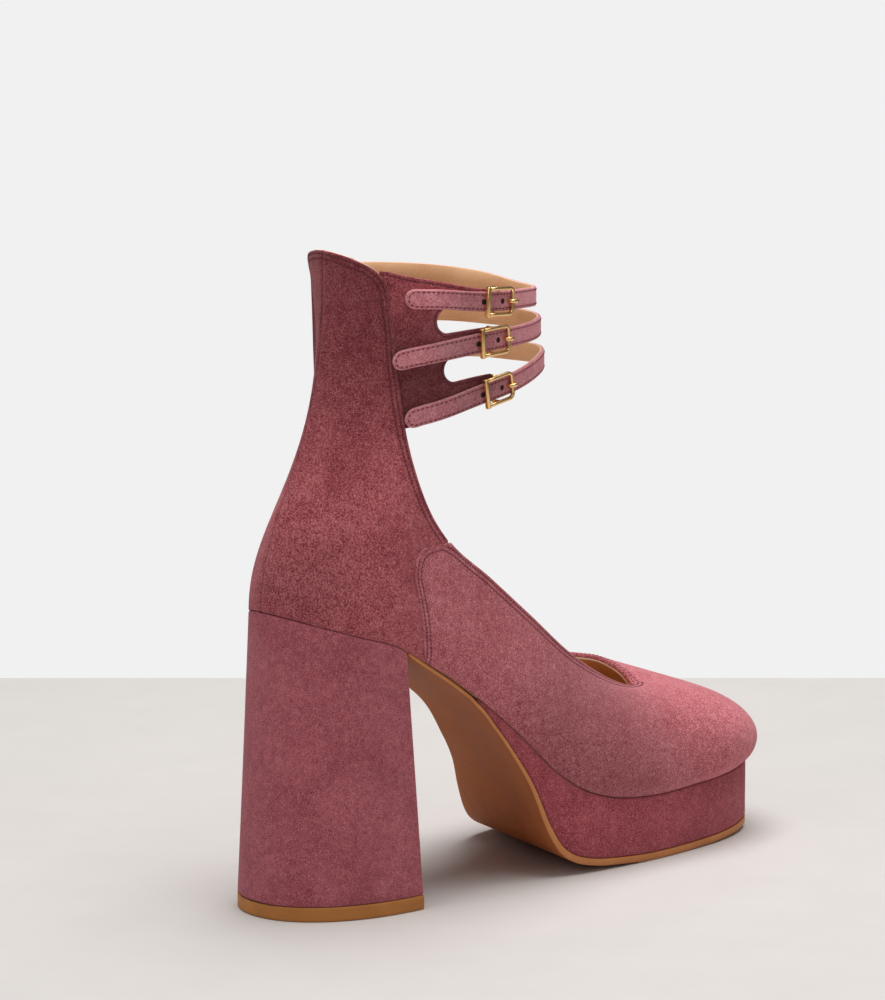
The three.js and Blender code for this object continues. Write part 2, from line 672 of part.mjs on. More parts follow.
// Middle of each strap from its end on the medial cuff to the tip of its tail. turn as above,
// past 180 on the medial side. rise: height over the heel seat, share of the collar's rise.
const strapRoutes = {
  top: [
    { turn: 296, rise: 0.895 }, { turn: 263, rise: 0.876 }, { turn: 237, rise: 0.859 },
    { turn: 215, rise: 0.842 }, { turn: 180, rise: 0.815 }, { turn: 150, rise: 0.818 },
    { turn: 123, rise: 0.831 }, { turn: 90, rise: 0.845 }, { turn: 68, rise: 0.863 },
    { turn: 51.2, rise: 0.870 },
  ],
  middle: [
    { turn: 296, rise: 0.735 }, { turn: 263, rise: 0.748 }, { turn: 233, rise: 0.748 },
    { turn: 203, rise: 0.735 }, { turn: 180, rise: 0.731 }, { turn: 132, rise: 0.731 },
    { turn: 86, rise: 0.726 }, { turn: 62, rise: 0.709 }, { turn: 44.6, rise: 0.694 },
  ],
  bottom: [
    { turn: 296, rise: 0.565 }, { turn: 263, rise: 0.604 }, { turn: 220, rise: 0.638 },
    { turn: 190, rise: 0.632 }, { turn: 160, rise: 0.634 }, { turn: 141, rise: 0.628 },
    { turn: 110, rise: 0.600 }, { turn: 88, rise: 0.578 }, { turn: 68, rise: 0.548 },
    { turn: 50.7, rise: 0.528 },
  ],
};
const buckleTurns = { top: 99.3, middle: 96.3, bottom: 98.7 };
const strapNames = Object.keys(strapRoutes);
const strapInside = gap - cuffRecess;
const strapOutside = strapInside + strapThickness;
const strapStart = 292;      // turn where the straps' ends lie over the medial cuff's tabs
const tabEnd = 80;           // where the medial tabs stop, degrees from the back seam

// Straps lower down stand further forward. The tails of the two lower ones lie over the quarter's
// front edge, so they lift by the step between the cuff and the quarter.
const strapReach = { top: -2.5, middle: 0.5, bottom: 2.5 };
const tailLift = { top: 0, middle: cuffRecess, bottom: cuffRecess };
const tailLap = 4.5;         // degrees of the tail that lie at full lift
const tailRise = 5.5;        // degrees over which it lifts
function strapOut(name, turn) {
  const front = strapReach[name] * Math.pow((1 - Math.cos(turn * Math.PI / 180)) / 2, 6);
  const pastTip = turn - strapRoutes[name].at(-1).turn;
  return front + tailLift[name] * (1 - THREE.MathUtils.smoothstep(pastTip, tailLap, tailLap + tailRise));
}

function strapZ(name, turn) {
  const route = [...strapRoutes[name]].reverse();
  return seatHeight + collarRise * throughRows(route.map(r => r.turn), route.map(r => r.rise), turn);
}

// Length along the ankle oval for one degree at a turn
function degreeLength(turn) {
  return ankle(turn + 0.5, 0).distanceTo(ankle(turn - 0.5, 0));
}

// Topline of the quarter beside the ankle: turn of its front edge at a height
function frontEdgeTurn(z) {
  const rows = backRibs.slice(0, 4);
  return throughRows(rows.map(r => seatHeight + r.rise * collarRise), rows.map(r => r.turn), z);
}

// Cuff: the panel beside the ankle, cut out between its three tabs. Its surface lies a little
// inside the quarter that laps over it.
const cuffCorner = 41;       // turn where the cuff's top edge leaves the quarter
const cuffRows = 6;
const cuffColumns = 12;
const tabMargin = 0.7;       // tab standing out beside its strap
// Cut-outs, named after the tab below: turn of the rounded end, and how far the tab widens there
const slots = { middle: { turn: 68, fill: 1.7 }, bottom: { turn: 71.5, fill: 4.0 } };
const slotRound = 5;
const slotHidden = 0.3;      // cut-out reaching up under the strap above it
const slotStep = 4;          // degrees between the points of a cut-out's edge
const cuffOver = 4;          // degrees that the lateral cuff's blank runs past the top buckle
const edgeMargin = 0.35;     // cuff's start inside the quarter's front edge
const cuffCrown = 5.2;       // cuff's top edge above its tab where it leaves the quarter
function cuff(side) {
  const end = side < 0 ? buckleTurns.top + cuffOver : tabEnd;
  const half = strapWidth / 2 + tabMargin;
  const place = (i, j, out) => {
    const w = j / cuffColumns;
    const guess = lerp(cuffCorner + 2, end, w);
    const top = mirroredZ('top', guess, side) + half + cuffCrown * (1 - w) ** 1.5;
    const low = mirroredZ('bottom', guess, side) - half + tabMargin;
    const z = lerp(low, top, i / cuffRows);
    const start = frontEdgeTurn(z) + (gap + edgeMargin) / degreeLength(cuffCorner);
    const turn = lerp(start, end, w);
    return ankle(-side * turn, z, out - cuffRecess);
  };
  const face = (i, j) => place(i, j, 0);
  const back = (i, j) => place(i, j, -cuffThickness);
  const panel = toManifold(slab(cuffRows, cuffColumns, face, back));
  let cut = panel;
  for (const [upperName, lowerName] of [['top', 'middle'], ['middle', 'bottom']]) {
    cut = cut.subtract(slotPrism(upperName, lowerName, side, half));
  }
  return cut;
}

// Strap height at a lateral turn or at its mirror on the medial side
function mirroredZ(name, turn, side) {
  return strapZ(name, side < 0 ? turn : 360 - turn);
}

// Prism that cuts the rounded slot between two tabs, out to past the tabs' ends
function slotPrism(upperName, lowerName, side, half) {
  const turns = [];
  const slot = slots[lowerName];
  const past = Math.max(...Object.values(buckleTurns)) + cuffOver + 2 * slotStep;
  for (let turn = slot.turn + slotRound; turn <= past; turn += slotStep) turns.push(turn);
  const xAt = turn => ankle(turn, 0).x;
  const width = turn => half + slot.fill * clamp((past - turn) / (past - turns[0]), 0, 1);
  const ceiling = turn => mirroredZ(upperName, turn, side) - strapWidth / 2 + slotHidden;
  const top = turns.map(turn => [xAt(turn), ceiling(turn)]);
  const low = turns.map(turn => [xAt(turn), mirroredZ(lowerName, turn, side) + width(turn)]);
  const middle = (top[0][1] + low[0][1]) / 2;
  const radius = (top[0][1] - low[0][1]) / 2;
  const reach = top[0][0] - xAt(slot.turn);
  const bow = [];
  for (let k = 1; k < 8; k++) {
    const a = Math.PI * k / 8;
    bow.push([top[0][0] - reach * Math.sin(a), middle - radius * Math.cos(a)]);
  }
  const outlinePoints = [...top.slice().reverse(), ...bow.slice().reverse(), ...low];
  const shape = new THREE.Shape(outlinePoints.map(([x, z]) => new THREE.Vector2(x, z)));
  const depth = ankleWidth;
  const prism = new THREE.ExtrudeGeometry(shape, { depth, bevelEnabled: false });
  prism.rotateX(Math.PI / 2);
  if (side > 0) prism.translate(0, depth, 0);
  return toManifold(prism);
}

// Local frame of a buckle: x along the strap to the front, y up, z away from the ankle
function buckleFrame(name) {
  const turn = buckleTurns[name];
  const at = t => ankle(t, strapZ(name, t), strapOut(name, t));
  const along = at(turn + 3).sub(at(turn - 3)).normalize();
  const outward = ankle(turn, 0, 1).sub(ankle(turn, 0, 0));
  const up = outward.clone().cross(along).normalize();
  const away = along.clone().cross(up).normalize();
  return new THREE.Matrix4().makeBasis(along, up, away).setPosition(at(turn));
}
const barZ = strapInside - gap - buckleWire / 2;
const frameZ = strapOutside + 0.05;
const barRadius = buckleWire / 2;

// Buckle: a flat rounded frame with its middle bar carried below it on two lugs
function buckle(name) {
  const frame = new THREE.Shape();
  const x = buckleLength / 2;
  const y = buckleWidth / 2;
  const r = 2.2;
  frame.moveTo(-x, -y);
  frame.lineTo(x - r, -y);
  frame.absarc(x - r, -y + r, r, -Math.PI / 2, 0);
  frame.absarc(x - r, y - r, r, 0, Math.PI / 2);
  frame.lineTo(-x, y);
  const window = new THREE.Path();
  const ix = x - buckleWire;
  const iy = y - buckleWire;
  const ir = r - buckleWire;
  window.moveTo(-ix, -iy);
  window.lineTo(-ix, iy);
  window.lineTo(ix - ir, iy);
  window.absarc(ix - ir, iy - ir, ir, Math.PI / 2, 0, true);
  window.absarc(ix - ir, -iy + ir, ir, 0, -Math.PI / 2, true);
  frame.holes.push(window);
  const ring = new THREE.ExtrudeGeometry(frame, { depth: buckleWire, bevelEnabled: false, curveSegments: 4 });
  ring.translate(0, 0, frameZ);
  const lugHeight = frameZ + buckleWire / 2 - barZ + barRadius;
  const lug = new THREE.BoxGeometry(2 * barRadius, buckleWire * 0.8, lugHeight);
  lug.translate(0, 0, barZ - barRadius + lugHeight / 2);
  const bar = new THREE.CylinderGeometry(barRadius, barRadius, buckleWidth - buckleWire, 10);
  bar.translate(0, 0, barZ);
  let solid = toManifold(ring).add(toManifold(bar));
  for (const end of [-1, 1]) {
    solid = solid.add(toManifold(lug).translate([0, end * (buckleWidth - buckleWire) / 2, 0]));
  }
  return solid;
}

// Prong: from beside the bar under the strap, up through its hole and over the front bar
const prongSteps = 9;
function prong(radius) {
  const start = barRadius + gap + prongRadius;
  const inner = buckleLength / 2 - buckleWire - gap - prongRadius;
  const over = frameZ + buckleWire + gap + prongRadius;
  const route = new THREE.CatmullRomCurve3([
    point(start, 0, barZ), point(inner - 1.6, 0, barZ + 0.2), point(inner - 0.3, 0, strapInside + 0.8),
    point(inner, 0, frameZ + 0.4), point(inner + 0.3, 0, over - 0.4), point(inner + 1.3, 0, over),
    point(buckleLength / 2 + 0.9, 0, over - 0.1),
  ]);
  const round = new THREE.Shape();
  round.absarc(0, 0, radius, 0, 2 * Math.PI);
  const sweep = { steps: prongSteps, curveSegments: 4, bevelEnabled: false, extrudePath: route };
  return toManifold(new THREE.ExtrudeGeometry(round, sweep));
}

const inFrame = (solid, name) => solid.transform(buckleFrame(name).elements);

// Strap: a flat band round the front of the ankle, with a rounded tail
const strapStep = 6.5;
function strap(name) {
  const route = strapRoutes[name];
  const tip = route[route.length - 1].turn;
  const start = strapStart;
  const roundOff = strapWidth / 2 / degreeLength(tip);
  const turns = [];
  for (const share of [0, 0.1, 0.3, 0.6]) turns.push(tip + share * roundOff);
  const count = Math.round((start - tip - roundOff) / strapStep);
  for (let k = 0; k <= count; k++) turns.push(lerp(tip + roundOff, start, k / count));
  const band = out => (i, j) => {
    const turn = turns[i];
    const t = clamp((turn - tip) / roundOff, 0, 1);
    const half = strapWidth / 2 * Math.sqrt(Math.max(1 - (1 - t) * (1 - t), 0.02));
    return ankle(turn, strapZ(name, turn) + lerp(-half, half, j), out + strapOut(name, turn));
  };
  const flat = toManifold(slab(turns.length - 1, 1, band(strapOutside), band(strapInside)));
  return flat.subtract(inFrame(prong(prongRadius + gap), name));
}

add('upper', upper(), suede);
add('insole', insole(), nudeLeather);
add('platform', platform(), lightSuede);
add('outsole', outsole(), tanLeather);
add('heel', heel(), lightSuede);
add('top_piece', topPiece(), tanLeather);

// A tab stops just short of its buckle's bar
const stopLength = 2 * buckleLength;
const stopDepth = 8 * cuffThickness;
function tabStops() {
  let stops = null;
  for (const name of strapNames) {
    const length = stopLength;
    const box = new THREE.BoxGeometry(length, 1.5 * strapWidth, stopDepth);
    box.translate(length / 2 - barRadius - gap, 0, barZ);
    const placed = inFrame(toManifold(box), name);
    stops = stops ? stops.add(placed) : placed;
  }
  return stops;
}
add('cuff_lateral', fromManifold(cuff(-1).subtract(tabStops())), suede);
add('cuff_medial', fromManifold(cuff(1)), suede);
for (const name of strapNames) {
  add('strap_' + name, fromManifold(strap(name)), lightSuede);
  add('buckle_' + name, fromManifold(inFrame(buckle(name), name)), gold);
  add('prong_' + name, fromManifold(inFrame(prong(prongRadius), name)), gold);
}

export default pump;
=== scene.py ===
# Looks of a right platform pump: suede upper with a high back, cut-out ankle cuffs and three
# buckled straps, suede-covered platform and block heel, leather sole.
# The shapes come from the same named sizes as the solids, in millimetres, and turn into metres
# where a mesh is made. +X runs to the toe, +Y to the medial side, +Z up.
import math

import bmesh
import bpy
import numpy as np
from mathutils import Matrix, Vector, kdtree


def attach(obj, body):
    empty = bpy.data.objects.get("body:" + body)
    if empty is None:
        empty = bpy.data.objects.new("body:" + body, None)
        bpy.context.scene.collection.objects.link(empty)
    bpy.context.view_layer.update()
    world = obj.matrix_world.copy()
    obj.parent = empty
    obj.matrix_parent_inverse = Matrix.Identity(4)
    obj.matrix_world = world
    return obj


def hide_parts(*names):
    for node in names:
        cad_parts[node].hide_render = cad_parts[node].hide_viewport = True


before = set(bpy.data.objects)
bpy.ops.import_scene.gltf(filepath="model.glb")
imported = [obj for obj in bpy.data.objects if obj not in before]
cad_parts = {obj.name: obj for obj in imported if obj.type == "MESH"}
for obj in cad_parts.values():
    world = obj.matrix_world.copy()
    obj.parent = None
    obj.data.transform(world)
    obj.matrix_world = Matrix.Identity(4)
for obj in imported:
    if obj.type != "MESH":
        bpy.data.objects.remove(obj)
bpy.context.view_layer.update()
MM = 0.001
rough = 1

# Sizes of the last, as in the solids
shoe_length = 246.0
heel_setback = 31.0
ball_width = 82.0
seat_height = 118.0
platform_height = 26.5
toe_spring = 2.5
arch_lift = 8.0
instep_rise = 52.0
collar_rise = 135.0
ankle_length = 103.0
ankle_width = 66.0
gap = 0.3
wall = 1.8
lap_step = 0.7
insole_thickness = 2.4
outsole_thickness = 2.9
top_piece_thickness = 5.5
heel_bottom_length = 55.0
heel_bottom_width = 71.0
cuff_thickness = 1.6
cuff_recess = 0.9
strap_width = 7.6
strap_thickness = 1.8
buckle_length = 16.0
buckle_width = 11.4
buckle_wire = 1.5
prong_radius = 0.7
toe_x = shoe_length - heel_setback
collar_back = 0.4

# Layers, cut edges and grids that only the looks have
quarter_layer = 1.05
cuff_layer = 0.85
lining_depth = 1.1
quarter_edge = 0.34
vamp_edge = 0.36
cuff_edge = 0.3
weld_distance = 0.02


def along_foot(share):
    return share * shoe_length - heel_setback


def through_rows(knots, values, at):
    """Smooth curve through the rows of a table, for one column or several."""
    knots, values, at = (np.asarray(a, float) for a in (knots, values, at))
    rows = values if values.ndim == 2 else values[:, None]
    slope = np.empty_like(rows)
    slope[0] = (rows[1] - rows[0]) / (knots[1] - knots[0])
    slope[-1] = (rows[-1] - rows[-2]) / (knots[-1] - knots[-2])
    before = (knots[1:-1] - knots[:-2])[:, None]
    after = (knots[2:] - knots[1:-1])[:, None]
    rise = (rows[1:-1] - rows[:-2]) / before * after + (rows[2:] - rows[1:-1]) / after * before
    slope[1:-1] = rise / (before + after)
    i = np.clip(np.searchsorted(knots, at, side="left") - 1, 0, len(knots) - 2)
    span = (knots[i + 1] - knots[i])[..., None]
    t = (at - knots[i])[..., None] / span
    t2, t3 = t * t, t * t * t
    out = (rows[i] * (2 * t3 - 3 * t2 + 1) + slope[i] * span * (t3 - 2 * t2 + t)
           + rows[i + 1] * (3 * t2 - 2 * t3) + slope[i + 1] * span * (t3 - t2))
    return out if values.ndim == 2 else out[..., 0]


# Bottom of the last from the side: share of the length, drop from the seat to the ball
bottom_line = np.array([
    (0.000, 1.000), (0.050, 0.950), (0.110, 0.895), (0.180, 0.830), (0.230, 0.750),
    (0.300, 0.632), (0.370, 0.492), (0.430, 0.350), (0.490, 0.190), (0.540, 0.092),
    (0.600, 0.030), (0.680, 0.000), (0.800, 0.000), (1.000, 0.000),
])
spring_start = 0.76
arch_middle = 0.41
arch_reach = 0.12
arch_width = 0.7

# Feather line in plan: share of the length, lateral and medial half widths
outline = np.array([
    (0.000, 0.000, 0.000), (0.006, 0.083, 0.083), (0.022, 0.165, 0.165), (0.050, 0.242, 0.242),
    (0.095, 0.312, 0.312), (0.155, 0.352, 0.350), (0.230, 0.364, 0.340), (0.330, 0.371, 0.285),
    (0.410, 0.388, 0.272), (0.490, 0.425, 0.350), (0.560, 0.458, 0.460), (0.640, 0.474, 0.518),
    (0.720, 0.476, 0.526), (0.800, 0.456, 0.492), (0.870, 0.425, 0.425), (0.925, 0.366, 0.335),
    (0.962, 0.289, 0.250), (0.986, 0.185, 0.160), (0.997, 0.090, 0.078), (1.000, 0.000, 0.000),
])


def spring(x):
    start = np.clip((x + heel_setback) / shoe_length - spring_start, 0, 1)
    return toe_spring * (start / (1 - spring_start)) ** 2


def bottom_z(x):
    at = np.clip((x + heel_setback) / shoe_length, 0, 1)
    drop = through_rows(bottom_line[:, 0], bottom_line[:, 1], at)
    return platform_height + drop * (seat_height - platform_height) + spring(x)


outline_steps = np.hypot(np.diff(outline[:, 0]) * shoe_length, np.diff(outline[:, 1]) * ball_width)
outline_knots = np.concatenate([[0], np.cumsum(outline_steps)])
outline_end = outline_knots[-1]
mirror = np.array([1, -1, -1])
ring_outline = np.vstack([outline[1] * mirror, outline, outline[-2] * mirror])
ring_outline_knots = np.concatenate(
    [[-outline_knots[1]], outline_knots, [2 * outline_end - outline_knots[-2]]])


def outline_at(distance):
    """x, lateral and medial half widths at a distance along the outline."""
    read = through_rows(ring_outline_knots, ring_outline, distance)
    return along_foot(read[..., 0]), ball_width * read[..., 1], ball_width * read[..., 2]


def feather_edge(distance, side):
    """x and y on the outline, lateral side -1 or medial side 1."""
    x, lateral, medial = outline_at(distance)
    return np.stack([x, side * (lateral if side < 0 else medial)], axis=-1)


def outline_distance(x):
    low = np.zeros_like(np.asarray(x, float))
    high = low + outline_end
    for _ in range(36):
        middle = (low + high) / 2
        short = outline_at(middle)[0] < x
        low, high = np.where(short, middle, low), np.where(short, high, middle)
    return (low + high) / 2


def half_width(x, side):
    at = outline_at(outline_distance(np.clip(x, -heel_setback, toe_x)))
    return np.where(side < 0, at[1], at[2])


def feather_z(x, y):
    """The bottom line, tilted up to the medial side at the waist."""
    at = (x + heel_setback) / shoe_length
    waist = np.exp(-((at - arch_middle) / arch_reach) ** 2)
    across = np.clip(0.5 + y / (arch_width * ball_width), 0, 1)
    return bottom_z(x) + arch_lift * waist * across


def xyz(x, y, z):
    return np.stack(np.broadcast_arrays(*(np.asarray(a, float) for a in (x, y, z))), axis=-1)


def unit(v):
    return v / np.maximum(np.linalg.norm(v, axis=-1, keepdims=True), 1e-12)


def oval_normal(turn):
    a = np.radians(turn)
    return unit(xyz(-np.cos(a) * ankle_width / 2, -np.sin(a) * ankle_length / 2, 0 * a))


def ankle(turn, z, out=0.0):
    """Point on the ankle oval: turn in degrees from the back seam, positive on the lateral side."""
    a = np.radians(turn)
    at = xyz(collar_back + ankle_length / 2 * (1 - np.cos(a)), -ankle_width / 2 * np.sin(a), z)
    return at + oval_normal(turn) * np.asarray(out, float)[..., None]


# Ribs of the upper from the feather line to the topline: foot, top, lateral, medial, rise, lift,
# then the handles out, up, over, down. They are as in the solids, apart from the first three,
# whose last handles round the toe off about 2 mm higher.
vamp_ribs = [
    (1.000, 0.797, 0.000, 0.000, 0.672, 0.00, 0.31, 0.26, 0.51, -0.04),
    (0.970, 0.792, 0.042, 0.052, 0.682, 0.08, 0.31, 0.28, 0.48, -0.03),
    (0.895, 0.768, 0.100, 0.122, 0.704, 0.160, 0.26, 0.32, 0.45, 0.02),
    (0.780, 0.718, 0.180, 0.198, 0.774, 0.155, 0.14, 0.38, 0.35, 0.11),
    (0.660, 0.640, 0.262, 0.250, 0.906, 0.080, 0.10, 0.37, 0.21, 0.23),
    (0.560, 0.555, 0.310, 0.285, 1.040, 0.02, 0.09, 0.35, 0.10, 0.32),
    (0.470, 0.465, 0.334, 0.310, 1.060, 0.00, 0.08, 0.35, 0.06, 0.35),
    (0.375, 0.375, 0.341, 0.325, 1.010, 0.00, 0.08, 0.35, 0.04, 0.35),
    (0.285, 0.287, 0.341, 0.335, 1.040, 0.00, 0.07, 0.35, 0.03, 0.35),
    (0.222, 0.248, 0.332, 0.330, 1.200, 0.00, 0.06, 0.34, 0.01, 0.36),
]
# The high back: foot, turn on the ankle oval, rise over the seat, then out, up, over, down
back_ribs = [
    (0.170, 52.9, 0.455, 0.04, 0.32, -0.02, 0.38),
    (0.122, 46.8, 0.660, 0.02, 0.31, -0.05, 0.46),
    (0.088, 43.5, 0.835, 0.00, 0.31, -0.08, 0.53),
    (0.070, 41.0, 0.918, 0.00, 0.31, -0.09, 0.56),
    (0.052, 35.5, 0.950, 0.00, 0.31, -0.10, 0.58),
    (0.026, 23.5, 0.980, 0.00, 0.31, -0.10, 0.60),
    (0.007, 11.0, 0.995, 0.00, 0.31, -0.065, 0.59),
    (0.000, 0.0, 1.000, 0.00, 0.31, -0.027, 0.585),
]


def rib_handles(rib, side):
    """Place round the feather line, then low handle, high handle and topline point of one rib."""
    distance = float(outline_distance(along_foot(rib[0])))
    here = feather_edge(distance, side)
    along = unit(feather_edge(distance + 0.2, side) - feather_edge(distance - 0.2, side))
    normal = np.array([-side * along[1], side * along[0]])
    foot = np.array([here[0], here[1], feather_z(here[0], here[1])])
    if len(rib) == 10:
        x = along_foot(rib[1])
        y = side * (rib[2] if side < 0 else rib[3]) * ball_width
        top = np.array([x, y, bottom_z(x) + (rib[4] + (rib[5] if side > 0 else 0)) * instep_rise])
    else:
        top = ankle(-side * rib[1], seat_height + rib[2] * collar_rise)
    out, up, over, down = rib[-4:]
    chord = np.linalg.norm(top - foot)
    low = np.array([normal[0] * out, normal[1] * out, up]) * chord
    high = top + np.array([normal[0] * over, normal[1] * over, -down]) * chord
    around = outline_end - distance if side < 0 else outline_end + distance
    return around, foot, low, high, top


half_ribs = vamp_ribs + back_ribs
loop = [rib_handles(r, -1) for r in half_ribs] + [rib_handles(r, 1) for r in half_ribs[-2:0:-1]]
rib_count = len(loop)
loop_knots = [0.0]
for i in range(1, rib_count + 1):
    now, before = loop[i % rib_count], loop[i - 1]
    loop_knots.append(loop_knots[-1] + (np.linalg.norm(now[1] - before[1])
                                        + np.linalg.norm(now[4] - before[4])) / 2)
loop_length = loop_knots[-1]
ring_knots, ring_round, ring_low, ring_high, ring_top = [], [], [], [], []
for i in range(-2, rib_count + 3):
    turns = i // rib_count
    rib = loop[i - turns * rib_count]
    ring_knots.append(loop_knots[i - turns * rib_count] + turns * loop_length)
    ring_round.append(rib[0] + turns * 2 * outline_end)
    ring_low.append(rib[2])
    ring_high.append(rib[3])
    ring_top.append(rib[4])
ring_columns = np.hstack([np.array(ring_round)[:, None], ring_low, ring_high, ring_top])


def last_surface(u, v):
    """Outer surface. u: distance round from the toe, lateral side first. v: 0 feather, 1 topline."""
    u, v = np.broadcast_arrays(np.asarray(u, float), np.asarray(v, float))
    read = through_rows(ring_knots, ring_columns, np.mod(u, loop_length))
    round_at = np.clip(read[..., 0], 0, 2 * outline_end)
    medial = round_at >= outline_end
    x, lateral_y, medial_y = outline_at(np.where(medial, round_at - outline_end, outline_end - round_at))
    y = np.where(medial, medial_y, -lateral_y)
    foot = xyz(x, y, feather_z(x, y))
    w, v = (1 - v)[..., None], v[..., None]
    return (foot * w * w * (w + 3 * v) + read[..., 1:4] * 3 * w * w * v
            + read[..., 4:7] * 3 * w * v * v + read[..., 7:10] * v ** 3)


def smooth_step(t):
    t = np.clip(t, 0, 1)
    return t * t * (3 - 2 * t)


foot_blend = 0.06
rim_blend = 0.06
high_back_z, high_back_run = 170, 12


def surface_frame(u, v):
    """Point and outward normal. The normal lies in the feather surface at the foot, and square to
    the ankle oval at the rim of the high back."""
    u, v = np.broadcast_arrays(np.asarray(u, float), np.asarray(v, float))
    at = last_surface(u, v)
    along_u = last_surface(u + 0.5, v) - last_surface(u - 0.5, v)
    along_v = last_surface(u, np.minimum(v + 0.01, 1)) - last_surface(u, np.maximum(v - 0.01, 0))
    normal = unit(np.cross(along_v, along_u))
    slope = (feather_z(at[..., 0] + 1, at[..., 1]) - feather_z(at[..., 0] - 1, at[..., 1])) / 2
    up = unit(xyz(-slope, 0 * slope, 1 + 0 * slope))
    flat = unit(normal - up * (normal * up).sum(-1, keepdims=True))
    low = smooth_step(1 - v / foot_blend)[..., None]
    normal = unit(normal * (1 - low) + flat * low)
    oval = unit(xyz(((at[..., 0] - collar_back) / (ankle_length / 2) - 1) / (ankle_length / 2),
                    at[..., 1] / (ankle_width / 2) ** 2, 0 * slope))
    high = smooth_step(1 - (1 - v) / rim_blend) * smooth_step((at[..., 2] - high_back_z) / high_back_run)
    normal = unit(normal * (1 - high[..., None]) + oval * high[..., None])
    return at, normal


# Seam where the vamp laps over the quarter: x and z from the topline down to the feather line
seam_rows = np.array([
    (0.300, 0.404), (0.267, 0.432), (0.249, 0.423), (0.230, 0.394), (0.218, 0.343),
    (0.212, 0.268), (0.210, 0.186), (0.2135, 0.090), (0.218, -0.050), (0.222, -0.170),
    (0.225, -0.310), (0.227, -0.400), (0.228, -0.900),
])
seam_points = np.stack([along_foot(seam_rows[:, 0]), seat_height + seam_rows[:, 1] * instep_rise], axis=1)
seam_knots = np.concatenate([[0], np.cumsum(np.linalg.norm(np.diff(seam_points, axis=0), axis=1))])
seam_line = through_rows(seam_knots, seam_points, np.linspace(0, seam_knots[-1], 160))
seam_line = np.vstack([[toe_x + 90, seam_line[0, 1]], seam_line, [seam_line[-1, 0], -60.0]])


def seam_distance(points):
    """Distance from the vamp's seam seen from the side, positive on the vamp."""
    p = points[..., [0, 2]].reshape(-1, 2)
    a, b = seam_line[:-1], seam_line[1:]
    best = np.full(len(p), 1e9)
    side = np.zeros(len(p), int)
    for p0, p1 in zip(a, b):
        d = p1 - p0
        t = np.clip(((p - p0) @ d) / (d @ d), 0, 1)
        best = np.minimum(best, np.hypot(*(p - p0 - t[:, None] * d).T))
        crosses = (p0[1] > p[:, 1]) != (p1[1] > p[:, 1])
        x_at = p0[0] + (p[:, 1] - p0[1]) / (d[1] if abs(d[1]) > 1e-9 else 1e-9) * d[0]
        side += crosses & (p[:, 0] > x_at)
    inside = (side % 2 == 1) & (p[:, 1] < seam_line[0, 1])
    return np.where(inside, best, -best).reshape(points.shape[:-1])


rim_points = last_surface(np.linspace(0, loop_length, 1800, endpoint=False), 1.0)
rim_tree = kdtree.KDTree(len(rim_points))
for i, p in enumerate(rim_points):
    rim_tree.insert(p, i)
rim_tree.balance()


def rim_distance(points):
    flat = points.reshape(-1, 3)
    return np.array([rim_tree.find(p)[2] for p in flat]).reshape(points.shape[:-1])


def soft_min(a, b, blend):
    h = np.clip(0.5 + 0.5 * (b - a) / blend, 0, 1)
    return b * (1 - h) + a * h - blend * h * (1 - h)


# Materials

def srgb(r, g, b, a=1.0):
    lin = [c / 12.92 if c <= 0.04045 else ((c + 0.055) / 1.055) ** 2.4 for c in (r / 255, g / 255, b / 255)]
    return (*lin, a)


